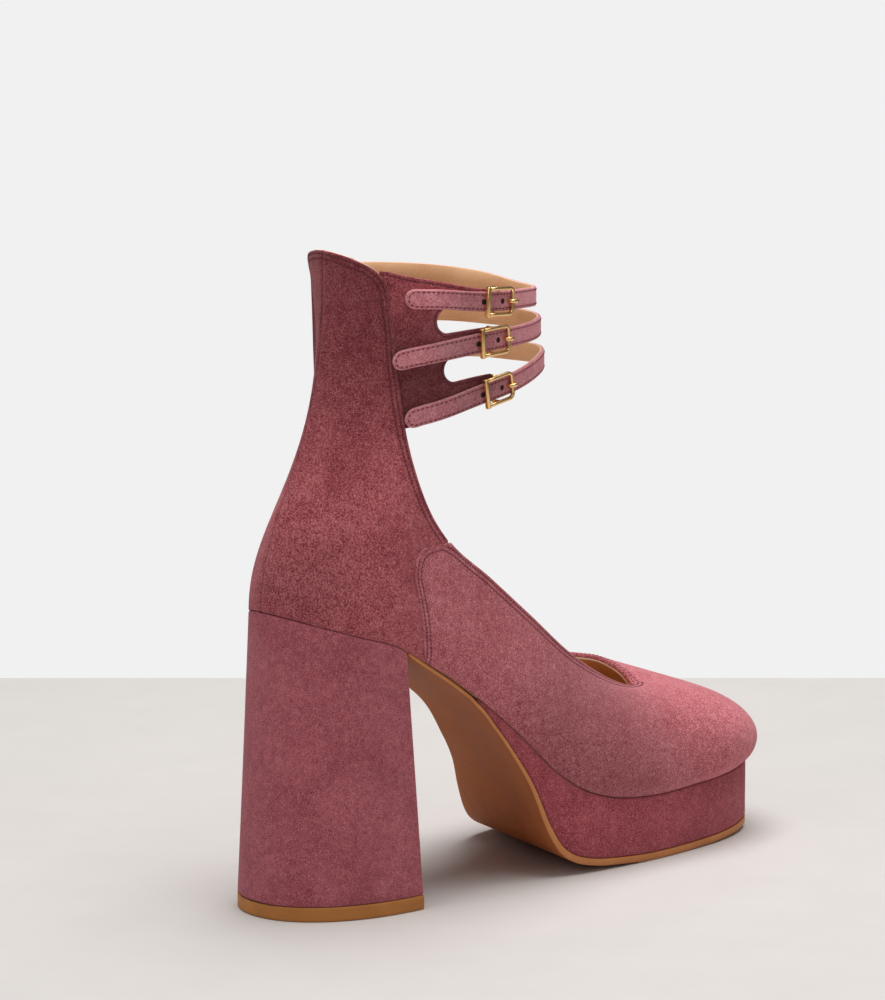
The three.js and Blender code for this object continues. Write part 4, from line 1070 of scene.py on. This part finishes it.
def strap(name):
    """Flat band with a crowned suede face, rounded edges, a lined back and a rounded tail."""
    tip = strap_routes[name][0][0]
    r = strap_width / 2
    start, end = length_at(tip), length_at(strap_start)
    arc = r * (1 - np.cos(np.linspace(0, math.pi / 2, 9)))
    along = np.concatenate([arc, np.arange(r + 0.9 * rough, end - start, 0.9 * rough), [end - start]])
    face = []
    for b in np.linspace(-1, 1, 13):
        face.append((b * 0.90, strap_outside + 0.10 * (1 - b * b) - 0.02, 0))
    edge_side = [
        (0.965, strap_outside - 0.18, 0), (1.0, strap_outside - 0.55, 0), (1.0, strap_inside + 0.62, 0),
        (0.985, strap_inside + 0.55, 1), (0.985, strap_inside + 0.28, 1), (0.97, strap_inside + 0.22, 2),
        (0.93, strap_inside, 2),
    ]
    other_side = [(-b, out, part) for b, out, part in reversed(edge_side)]
    section = np.array(face + edge_side + [(0.0, strap_inside, 2)] + other_side)
    verts, uv = [], []
    turns = turn_at(start + along)
    for a, turn in zip(along, turns):
        half = r * math.sqrt(max(1 - max(1 - a / r, 0) ** 2, 0.0009))
        b = section[:, 0] * half
        out = section[:, 1]
        if a < 0.6:
            out = strap_inside + 0.5 + (out - strap_inside - 0.5) * (0.55 + 0.45 * a / 0.6)
        height = strap_z(name, turn) + b
        verts.append(ankle(np.full(len(section), turn), height, out + strap_out(name, turn)))
        edge = np.where(a < r, r - np.hypot(r - a, b), r - np.abs(b))
        side = np.minimum(edge, end - start - a)
        uv.append(np.stack([np.maximum(side, 0), np.full(len(section), a)], axis=-1))
    count = len(section)
    verts, uv = np.concatenate(verts), np.concatenate(uv)
    faces, slots = [], []
    for i in range(len(along) - 1):
        for j in range(count):
            k = (j + 1) % count
            faces.append((i * count + j, i * count + k, (i + 1) * count + k, (i + 1) * count + j))
            slots.append(int(max(section[j, 2], section[k, 2])))
    faces.append(tuple(range(count)))
    faces.append(tuple(range((len(along) - 1) * count, len(along) * count))[::-1])
    slots += [0, 1]
    middle = (strap_inside + strap_outside) / 2
    centre = ankle(turns, strap_z(name, turns), middle + strap_out(name, turns))
    centre = np.repeat(centre, count, axis=0)
    faces = fit_outward(verts, faces[:-2], verts - centre) + faces[-2:]
    finishes = [strap_suede, cream_edge, lining_leather]
    obj = mesh_object("strap_" + name + "_suede", verts, faces, finishes, uv, slots)
    faced_out(obj)
    inset = strap_line
    tail = np.linspace(math.pi, 0, 13)[1:-1]
    straight = np.arange(end - start - inset, r, -0.8)
    row = r - inset
    path = [(a, row) for a in straight]
    path += [(r - row * math.sin(t), -row * math.cos(t)) for t in tail]
    path += [(a, -row) for a in straight[::-1]]
    path.append((end - start - inset, 0))
    path.append((end - start - inset, r - inset))
    path = np.array(path)
    turns = turn_at(start + path[:, 0])
    line = ankle(turns, strap_z(name, turns) + path[:, 1], strap_outside + 0.03 + strap_out(name, turns))
    return obj, (line, oval_normal(turns))


def buckle_axes(name):
    turn = buckle_turns[name]
    near = np.array([turn - 3, turn + 3])
    ends = ankle(near, strap_z(name, near), strap_out(name, near))
    along = unit(ends[1] - ends[0])
    up = unit(np.cross(oval_normal(turn), along))
    away = unit(np.cross(along, up))
    origin = ankle(turn, strap_z(name, turn), strap_out(name, turn))
    return origin, along, up, away


def placed(name, local):
    origin, along, up, away = buckle_axes(name)
    local = np.asarray(local, float)
    return origin + local[..., :1] * along + local[..., 1:2] * up + local[..., 2:3] * away


def tube(path, side, section):
    """Section swept along a path. side: direction of the section's first axis at each point."""
    path, side = np.asarray(path, float), np.asarray(side, float)
    tangent = unit(np.gradient(path, axis=0))
    first = unit(side - tangent * (side * tangent).sum(-1, keepdims=True))
    second = np.cross(tangent, first)
    section = np.asarray(section, float)
    if section.ndim == 2:
        section = np.repeat(section[None], len(path), axis=0)
    verts = path[:, None] + section[..., :1] * first[:, None] + section[..., 1:2] * second[:, None]
    n, m = verts.shape[:2]
    faces = []
    for i in range(n - 1):
        k = i + 1
        faces += [(i * m + j, i * m + (j + 1) % m, k * m + (j + 1) % m, k * m + j) for j in range(m)]
    faces += [tuple(range(m))[::-1], tuple(range((n - 1) * m, n * m))]
    return verts.reshape(-1, 3), faces


def squared(part, power):
    """Sine or cosine of a round bent towards a square: 2 is round, more is squarer."""
    return np.sign(part) * np.abs(part) ** (2 / power)


def round_section(width, height, power=2.6, count=20):
    a = np.linspace(0, 2 * math.pi, count, endpoint=False)
    across, up = squared(np.cos(a), power), squared(np.sin(a), power)
    return np.stack([width / 2 * across, height / 2 * up], axis=-1)


def joined(name, parts, materials):
    """One mesh of several (points, faces) parts."""
    verts, faces = [], []
    for v, f in parts:
        start = sum(len(x) for x in verts)
        verts.append(v)
        faces += [tuple(start + q for q in face) for face in f]
    return faced_out(mesh_object(name, np.concatenate(verts), faces, materials))


bar_z = strap_inside - gap - buckle_wire / 2
frame_z = strap_outside + 0.05 + buckle_wire / 2


def buckle(name):
    """Rounded wire frame with a squarer rear bar and its middle bar under the strap."""
    x, y, r = buckle_length / 2 - buckle_wire / 2, buckle_width / 2 - buckle_wire / 2, 2.0
    corner = np.linspace(0, math.pi / 2, 8)
    path = [(-x, -y, frame_z), (-x / 3, -y, frame_z), (x / 3, -y, frame_z)]
    path += [(x - r + r * math.sin(a), -y + r - r * math.cos(a), frame_z) for a in corner]
    path += [(x + 0.08, k * (y - r) / 3, frame_z - 0.12 * (1 - abs(k) / 3)) for k in (-2, -1, 0, 1, 2)]
    path += [(x - r + r * math.cos(a), y - r + r * math.sin(a), frame_z) for a in corner]
    path += [(x / 3, y, frame_z), (-x / 3, y, frame_z), (-x, y, frame_z)]
    path = np.array(path)
    away = np.repeat([[0.0, 0.0, 1.0]], len(path), axis=0)
    ring = tube(path, away, round_section(buckle_wire * 1.0, buckle_wire * 0.98, 3.0))
    bar_places = (-1, -0.97, -0.9, 0, 0.9, 0.97, 1)
    bar_path = np.array([(-x, s * (buckle_width / 2 + 0.1), frame_z + 0.1) for s in bar_places])
    full = round_section(2.05, 1.7, 3.4)
    bar = tube(bar_path, np.repeat([[0.0, 0.0, 1.0]], 7, axis=0),
               np.array([full * s for s in (0.72, 0.92, 1, 1, 1, 0.92, 0.72)]))
    parts = [ring, bar]
    y_bar = (buckle_width - buckle_wire) / 2
    bar_line = [(0, -y_bar, bar_z), (0, 0, bar_z), (0, y_bar, bar_z)]
    parts.append(tube(bar_line, [[0, 0, 1.0]] * 3, round_section(1.5, 1.5, 2.0, 14)))
    for side in (-1, 1):
        post = [(0, side * y_bar, z) for z in (bar_z - 0.6, bar_z + 0.8, frame_z)]
        parts.append(tube(post, [[1.0, 0, 0]] * 3, round_section(1.5, 1.2, 3.0, 14)))
    parts = [(placed(name, v), f) for v, f in parts]
    return joined("buckle_" + name + "_gold", parts, [gold])


def prong(name):
    start = buckle_wire / 2 + gap + prong_radius
    inner = buckle_length / 2 - buckle_wire - gap - prong_radius
    over = frame_z + buckle_wire / 2 + gap + prong_radius - 0.28
    keys = np.array([(start, 0, bar_z), (inner - 1.6, 0, bar_z + 0.2), (inner - 0.3, 0, strap_inside + 0.8),
                     (inner, 0, frame_z - 0.3), (inner + 0.3, 0, over - 0.4), (inner + 1.3, 0, over),
                     (buckle_length / 2 + 0.4, 0, over - 0.05), (buckle_length / 2 + 1.0, 0, over - 0.25)])
    knots = np.concatenate([[0], np.cumsum(np.linalg.norm(np.diff(keys, axis=0), axis=1))])
    t = np.linspace(0, knots[-1], 30)
    path = through_rows(knots, keys, t)
    size = np.interp(t, [0, knots[-1] - 1.6, knots[-1] - 0.4, knots[-1]], [1, 1.12, 0.95, 0.45])
    section = round_section(2 * prong_radius, 2 * prong_radius, 2.2, 14)[None] * size[:, None, None]
    verts, faces = tube(path, np.repeat([[0, 1.0, 0]], len(path), axis=0), section)
    return joined("prong_" + name + "_gold", [(placed(name, verts), faces)], [gold])


def hole_tree():
    """A dark disc at each punched hole: painted shade for the dark inside of the hole."""
    tree, sizes, axes = piece_tree("punched hole", ("Radius",), "Finish")
    new, link = tree.nodes.new, tree.links.new
    source = new("NodeGroupInput")
    axes.inputs[1].default_value = (0.0, 0.0, 1.0)
    disc = new("GeometryNodeMeshCylinder")
    disc.inputs["Vertices"].default_value = 20
    disc.inputs["Depth"].default_value = 0.0003
    place = new("GeometryNodeInstanceOnPoints")
    link(source.outputs["Geometry"], place.inputs["Points"])
    link(source.outputs["Radius"], disc.inputs["Radius"])
    link(disc.outputs[0], place.inputs["Instance"])
    link(axes.outputs[0], place.inputs["Rotation"])
    ending(tree, source, place.outputs[0], "Finish")
    return tree, sizes


# Along the strap from the buckle's middle bar
hole_places = (2.2, -8.2)
hole_radius = 1.05


def punched_holes():
    tree, sizes = hole_tree()
    points, facing = [], []
    for name in strap_routes:
        middle = length_at(buckle_turns[name])
        for off in hole_places:
            turn = turn_at(middle + off)
            points.append(ankle(turn, strap_z(name, turn), strap_outside - 0.01 + strap_out(name, turn)))
            facing.append(oval_normal(turn))
    obj = facing_points("strap_holes", points, facing)
    holes = obj.modifiers.new("holes", "NODES")
    holes.node_group = tree
    holes[sizes["Radius"]] = hole_radius * MM
    holes[sizes["Finish"]] = hole_shade
    return applied(obj)


strap_rows = []
for name in strap_routes:
    band, row = strap(name)
    fitted(band, "suede", "strap_" + name)
    strap_rows.append(row)
    fitted(buckle(name), "gold_metal", "buckle_" + name)
    fitted(prong(name), "gold_metal", "prong_" + name)
fitted(stitches("strap_stitches", strap_rows, pitch=2.05, length=1.1, height=0.4), "suede")
fitted(punched_holes(), "suede")


def front_edge_turn(z):
    rows = np.array(back_ribs[:4])
    return through_rows(seat_height + rows[:, 2] * collar_rise, rows[:, 1], z)


cuff_step = 0.62


def cuff(side):
    """Suede panel beside the ankle with two round-ended cut-outs, over its own lining."""
    word = "lateral" if side < 0 else "medial"
    end_turn = tab_end if side > 0 else buckle_turns["middle"] - 1.0
    s = np.arange(length_at(38), length_at(end_turn + 3), cuff_step * rough)
    z = np.arange(182, 250, cuff_step * rough)
    length, height = np.meshgrid(s, z)
    turn = turn_at(length)
    real = turn if side < 0 else 360 - turn
    half = strap_width / 2 + tab_margin
    centre = {name: strap_z(name, real) for name in strap_routes}
    rear = np.clip(1 - (turn - 43) / 58, 0, 1)
    top = centre["top"] + half + cuff_crown * rear ** 1.5 - height
    low = height - (centre["bottom"] - half + tab_margin)
    start = length - length_at(front_edge_turn(height)) + 1.6
    ends = np.zeros_like(length)
    if side > 0:
        ends = length_at(tab_end) - length
    else:
        stop = {name: length_at(buckle_turns[name]) - 1.1 for name in strap_routes}
        nearest = np.argmin([np.abs(centre[n] - height) for n in strap_routes], axis=0)
        ends = np.array([stop[n] for n in strap_routes])[nearest] - length
    edge = np.minimum(np.minimum(top, low), ends)
    for upper_name, lower_name in (("top", "middle"), ("middle", "bottom")):
        slot_turn, fill = slots[lower_name]
        widening = fill * np.clip((slot_past - turn) / (slot_past - slot_turn), 0, 1)
        ceiling = centre[upper_name] - strap_width / 2 + slot_hidden
        floor_line = centre[lower_name] + half + widening
        round_at = length_at(slot_turn)
        real_turn = slot_turn if side < 0 else 360 - slot_turn
        high = strap_z(upper_name, real_turn) - strap_width / 2 + slot_hidden
        lower = strap_z(lower_name, real_turn) + half + fill
        radius, middle = (high - lower) / 2, (high + lower) / 2
        slot = np.where(length > round_at, np.minimum(ceiling - height, height - floor_line),
                        radius - np.hypot(round_at - length, height - middle))
        edge = np.minimum(edge, -slot)
    shape = np.minimum(edge, start)
    normal = oval_normal(turn * -side)
    outer = ankle(turn * -side, height, -cuff_recess)
    lined = outer - normal * cuff_layer
    outer = outer - normal * pulled_in(edge, (cuff_line,), 0.08, reach=0.6)[..., None]
    edges = (np.maximum(edge, 0), 0 * edge)
    face = panel("cuff_" + word + "_suede", outer, normal, shape, edges, [cuff_suede])
    applied(with_bevel(with_wall(face, cuff_layer), cuff_edge))
    finishes = [lining_leather, cream_edge]
    back = panel("cuff_" + word + "_lining", lined, normal, shape - 0.12, edges, finishes)
    applied(with_bevel(with_wall(back, cuff_thickness - cuff_layer, rim_slot=1), 0.12))
    return face, back, rows_at((cuff_line,), outer, normal, edge, start > 1.0)


cuff_rows = []
for side in (-1, 1):
    face, back, rows = cuff(side)
    node = "cuff_lateral" if side < 0 else "cuff_medial"
    fitted(face, "suede", node)
    fitted(back, "lining", node)
    cuff_rows += rows
fitted(stitches("cuff_stitches", cuff_rows, pitch=1.6, length=1.0, width=0.5, height=0.38), "suede")

# Sole, platform, heel, insole

# lateral and medial shares of the length, level: 1 where the platform starts, 0 on the tread
tread_rows = [
    (0.1985, 0.1985, None), (0.238, 0.245, None), (0.275, 0.292, None), (0.308, 0.345, None),
    (0.338, 0.394, 1.000), (0.377, 0.447, 0.846), (0.406, 0.484, 0.723), (0.439, 0.520, 0.561),
    (0.459, 0.541, 0.440), (0.480, 0.561, 0.280), (0.505, 0.583, 0.138), (0.534, 0.608, 0.066),
    (0.575, 0.640, 0.030), (0.620, 0.675, 0.014), (0.665, 0.705, 0.004), (0.705, 0.735, 0.000),
    (0.780, 0.795, 0.000), (0.850, 0.857, 0.000), (0.905, 0.908, 0.000), (0.945, 0.946, 0.000),
    (0.975, 0.975, 0.000), (0.992, 0.992, 0.000), (1.000, 1.000, 0.000),
]
platform_row = 4
platform_edge = 0.6
bend_reach = 0.9
bend_blend = 5.0
seat_gap = 0.05
toe_reach = 1.6
reach_start = 0.85
waist_thickness = 1.6
thin_up_to = 5
thick_from = 11
tread_share = np.array([(a, b, 1.0 if c is None else c) for a, b, c in tread_rows])
tread_knots = np.arange(len(tread_rows))


def across_foot(row, s):
    read = through_rows(tread_knots, tread_share, row)
    x = [along_foot(read[..., 0]), along_foot(read[..., 1])]
    y = [-half_width(x[0], -1), half_width(x[1], 1)]
    x = [end + toe_reach * smooth_step((end - along_foot(reach_start)) / (toe_x - along_foot(reach_start)))
         for end in x]
    return x[0] + (x[1] - x[0]) * s, y[0] + (y[1] - y[0]) * s, read[..., 2]


def tread_facets(row, s):
    """Waist and platform parts of the tread, which meet in a bend."""
    x, y, level = across_foot(row, s)
    feather = feather_z(x, y)
    start_x, start_y, _ = across_foot(np.full_like(row, float(platform_row)), s)
    start_z = feather_z(start_x, start_y) - 2 * gap - platform_edge
    base = outsole_thickness + spring(x)
    blend = bend_blend * np.clip((row - platform_row) / 2, 0.01, 1)
    z = soft_min(base + (start_z - base) * level, feather - 2 * gap - platform_edge, blend)
    waist = feather - seat_gap - row / platform_row * (2 * gap + platform_edge - seat_gap)
    return xyz(x, y, np.where(row < platform_row, waist, z))


def tread_surface(row, s):
    """Upper face of the outsole, which is the platform's lower face, with its bend rounded."""
    reach = bend_reach * np.clip(1 - np.abs(row - platform_row), 0, 1)
    near = [tread_facets(row + shift * reach, s) for shift in (-1, -0.5, 0, 0.5, 1)]
    at = np.average(near, axis=0, weights=(1, 2, 3, 2, 1))
    return at[..., 0], at[..., 1], at[..., 2]


def slab(name, upper_points, lower_points, materials, rim_slot=0):
    """Solid between two grids of points."""
    rows, cols = upper_points.shape[:2]
    verts = np.concatenate([upper_points.reshape(-1, 3), lower_points.reshape(-1, 3)])
    size = rows * cols
    faces, slots = [], []
    for i in range(rows - 1):
        for j in range(cols - 1):
            q = (i * cols + j, (i + 1) * cols + j, (i + 1) * cols + j + 1, i * cols + j + 1)
            faces += [q, tuple(size + k for k in q[::-1])]
            slots += [0, 0]
    ring = ([(i, 0) for i in range(rows)] + [(rows - 1, j) for j in range(1, cols)]
            + [(i, cols - 1) for i in range(rows - 2, -1, -1)] + [(0, j) for j in range(cols - 2, 0, -1)])
    ids = [i * cols + j for i, j in ring]
    for a, b in zip(ids, ids[1:] + ids[:1]):
        faces.append((a, b, size + b, size + a))
        slots.append(rim_slot)
    return faced_out(mesh_object(name, verts, faces, materials, face_material=slots), weld=True)


def row_places(first, last, per_row):
    count = int((last - first) * per_row)
    return np.linspace(first, last, count + 1)


def toe_rows(first):
    """Rows of the tread table, closer together where the toe rounds off."""
    last = len(tread_rows) - 1
    sides = row_places(first, last - 4, 6 // rough)
    toe = row_places(last - 4, last, 14 // rough)
    return np.concatenate([sides, toe[1:]])


def platform_block():
    row = toe_rows(platform_row)[:, None]
    s = np.linspace(0, 1, 33)[None, :]
    row, s = row + 0 * s, s + 0 * row
    x, y, z = tread_surface(row, s)
    upper_points = xyz(x, y, feather_z(x, y) - seat_gap)
    lower_points = xyz(x, y, z + gap * 0.3)
    obj = slab("platform_suede", upper_points, lower_points, [platform_cover])
    return applied(with_bevel(obj, 1.0, 3, 40))


def sole():
    row = toe_rows(0)[:, None]
    s = np.linspace(0, 1, 33)[None, :]
    row, s = row + 0 * s, s + 0 * row
    x, y, z = tread_surface(row, s)
    run_x, run_z = np.gradient(x, axis=0), np.gradient(z, axis=0)
    size = np.hypot(run_x, run_z)
    run_x, run_z = run_x / np.maximum(size, 1e-6), run_z / np.maximum(size, 1e-6)
    flat = z <= outsole_thickness + spring(x) + gap
    thicker = smooth_step((row - thin_up_to) / (thick_from - thin_up_to))
    thickness = waist_thickness + (outsole_thickness - waist_thickness) * thicker
    back = np.clip(row, 0, 1) * run_z * thickness
    lower_x = np.where(flat, x, x + back)
    lower_z = np.where(flat, spring(x), np.maximum(z - run_x * thickness, 0))
    upper_points = xyz(x, y, z)
    lower_points = xyz(lower_x, y, lower_z)
    obj = slab("outsole_leather", upper_points, lower_points, [sole_leather, sole_edge], rim_slot=1)
    return applied(with_bevel(obj, 0.45, 2, 50))


breast = 0.196
heel_steps = 96
heel_back_share = 0.63
heel_squareness = 2.15
breast_distance = float(outline_distance(along_foot(breast)))


def heel_foot(share, z):
    a = math.pi * share
    front = heel_bottom_length * (1 - heel_back_share)
    x = front - heel_bottom_length * squared(np.sin(a), heel_squareness)
    return xyz(x, -heel_bottom_width / 2 * squared(np.cos(a), heel_squareness), z + 0 * a)


def heel_top(share):
    side = np.where(share < 0.5, -1, 1)
    x, lateral, medial = outline_at(np.abs(2 * share - 1) * breast_distance)
    y = side * np.where(side < 0, lateral, medial)
    return xyz(x, y, feather_z(x, y) - seat_gap)


def block(name, shell, levels, materials):
    """Solid of stacked outlines with a straight front face, capped above and below."""
    half = heel_steps // 2
    cells = 24
    share = np.linspace(0, 1, heel_steps + 1)
    rings = [shell(i / levels, share) for i in range(levels + 1)]
    j = np.linspace(0, 1, cells + 1)[None, :, None]
    near = [ring[: half + 1, None] * (1 - j) for ring in rings]
    far = [ring[::-1][: half + 1, None] * j for ring in rings]
    layers = np.array(near) + np.array(far)
    verts = layers.reshape(-1, 3)
    size = (half + 1) * (cells + 1)
    faces = []

    def quad(*corners):
        faces.append(tuple(i * size + k * (cells + 1) + c for i, k, c in corners))

    for k in range(half):
        for c in range(cells):
            quad((levels, k, c), (levels, k + 1, c), (levels, k + 1, c + 1), (levels, k, c + 1))
            quad((0, k, c), (0, k, c + 1), (0, k + 1, c + 1), (0, k + 1, c))
    for i in range(levels):
        for k in range(half):
            quad((i, k, 0), (i, k + 1, 0), (i + 1, k + 1, 0), (i + 1, k, 0))
            quad((i, k, cells), (i + 1, k, cells), (i + 1, k + 1, cells), (i, k + 1, cells))
        for c in range(cells):
            quad((i, 0, c), (i, 0, c + 1), (i + 1, 0, c + 1), (i + 1, 0, c))
    used = sorted({q for face in faces for q in face})
    index = {q: n for n, q in enumerate(used)}
    faces = [tuple(index[q] for q in face) for face in faces]
    return faced_out(mesh_object(name, verts[used], faces, materials), weld=True)


def heel_block():
    low = top_piece_thickness + gap * 0.3

    def shell(level, share):
        foot, top = heel_foot(share, low), heel_top(share)
        return foot + (top - foot) * level

    return applied(with_bevel(block("heel_suede", shell, 30 // rough, [block_suede]), 0.9, 3, 45))


def heel_tip():
    def shell(level, share):
        return heel_foot(share, level * top_piece_thickness)

    return applied(with_bevel(block("heel_tip", shell, 4, [tip_leather]), 0.3, 2, 45))


def insole_board():
    inset = wall + gap + 0.1
    share = np.linspace(0, 1, 150 // rough + 1)
    d = outline_end * (share - 0.6 * np.sin(2 * math.pi * share) / (2 * math.pi))
    ends = []
    for side in (-1, 1):
        here = feather_edge(d, side)
        along = unit(feather_edge(d + 0.2, side) - feather_edge(d - 0.2, side))
        moved = here + np.stack([side * along[:, 1], -side * along[:, 0]], axis=-1) * inset
        moved[:, 1] = np.where(side * moved[:, 1] < 0, 0, moved[:, 1])
        ends.append(moved)
    s = 0.5 - 0.5 * np.cos(np.linspace(0, math.pi, 41))[None, :, None]
    at = ends[0][:, None] * (1 - s) + ends[1][:, None] * s
    x, y = at[..., 0], at[..., 1]
    floor_z = feather_z(x, y) + 0.1
    width = np.linalg.norm(ends[1] - ends[0], axis=1)[:, None]
    length = np.minimum(share, 1 - share)[:, None] * outline_end
    rim = np.minimum(np.minimum(s[..., 0], 1 - s[..., 0]) * width, length)
    rounded = 1.2 * (1 - np.sqrt(1 - np.clip(1 - rim / 1.2, 0, 1) ** 2))
    upper_points = xyz(x, y, floor_z + insole_thickness - rounded)
    lower_points = xyz(x, y, floor_z)
    return slab("insole_leather", upper_points, lower_points, [insole_leather])


for piece, node, slot_name in (
    (platform_block(), "platform", "block_suede"),
    (sole(), "outsole", "sole_leather"),
    (heel_block(), "heel", "block_suede"),
    (heel_tip(), "top_piece", "top_piece"),
    (insole_board(), "insole", "lining"),
):
    fitted(piece, slot_name, node)

# Camera, floor and light

camera_place = Vector((-1.351, -1.555, 0.533))
look_turn, look_down = math.radians(42.26), math.radians(10.34)
camera = bpy.data.objects.new("camera", bpy.data.cameras.new("camera"))
camera.data.sensor_width = 36.0
photo_focal_px, photo_height_px = 5495, 1000
camera.data.lens = photo_focal_px * camera.data.sensor_width / photo_height_px
camera.data.clip_end = 30
camera.location = camera_place
camera.rotation_euler = (math.pi / 2 - look_down, 0, -look_turn)
bpy.context.collection.objects.link(camera)
bpy.context.scene.camera = camera

ahead = Vector((math.sin(look_turn), math.cos(look_turn), 0))
right = Vector((ahead.y, -ahead.x, 0))
ground = Vector((camera_place.x, camera_place.y, 0))
far_edge, near_edge, side_edge = 2.467, -3.0, 5.0
places = ((far_edge, -side_edge), (far_edge, side_edge), (near_edge, side_edge), (near_edge, -side_edge))
corners = [ground + ahead * a + right * b + Vector((0, 0, -0.0002)) for a, b in places]
floor_finish = plain("pale floor", srgb(213, 210, 208), 0.75, 0.016, 0.03)
floor_mesh = bpy.data.meshes.new("floor")
floor_mesh.from_pydata([tuple(c) for c in corners], [], [(3, 2, 1, 0)])
floor_mesh.materials.append(floor_finish)
floor_piece = bpy.data.objects.new("floor", floor_mesh)
bpy.context.collection.objects.link(floor_piece)

world = bpy.data.worlds.new("studio")
world.use_nodes = True
bpy.context.scene.world = world
sky, join = world.node_tree.nodes, world.node_tree.links.new
seen = sky["Background"]
seen.inputs["Color"].default_value = srgb(241, 241, 241)
seen.inputs["Strength"].default_value = 1.0
glow = sky.new("ShaderNodeBackground")
glow.inputs["Color"].default_value = (1.0, 0.985, 0.97, 1)
glow.inputs["Strength"].default_value = 0.16
rays = sky.new("ShaderNodeLightPath")
both = sky.new("ShaderNodeMixShader")
join(rays.outputs["Is Camera Ray"], both.inputs[0])
join(glow.outputs[0], both.inputs[1])
join(seen.outputs[0], both.inputs[2])
join(both.outputs[0], sky["World Output"].inputs[0])


def softbox(name, place, target, size, power, colour=(1, 0.985, 0.965)):
    lamp = bpy.data.lights.new(name, "AREA")
    lamp.shape = "RECTANGLE"
    lamp.size, lamp.size_y = size
    lamp.energy = power
    lamp.color = colour
    obj = bpy.data.objects.new(name, lamp)
    obj.location = place
    obj.rotation_mode = "QUATERNION"
    obj.rotation_quaternion = (Vector(target) - Vector(place)).to_track_quat("-Z", "Y")
    bpy.context.collection.objects.link(obj)


softbox("overhead", (0.10, -0.05, 1.7), (0.08, 0, 0.1), (1.3, 1.3), 27)
softbox("right", (0.75, 0.25, 1.5), (0.10, 0, 0.1), (0.9, 0.9), 6)
softbox("front", (0.3, -1.9, 1.0), (0.05, 0, 0.12), (1.0, 1.2), 3.5)
softbox("left", (-1.8, -0.1, 0.9), (0.0, 0, 0.1), (1.0, 1.2), 5.5)

view = bpy.context.scene.view_settings
view.view_transform = "Standard"
view.look = "None"
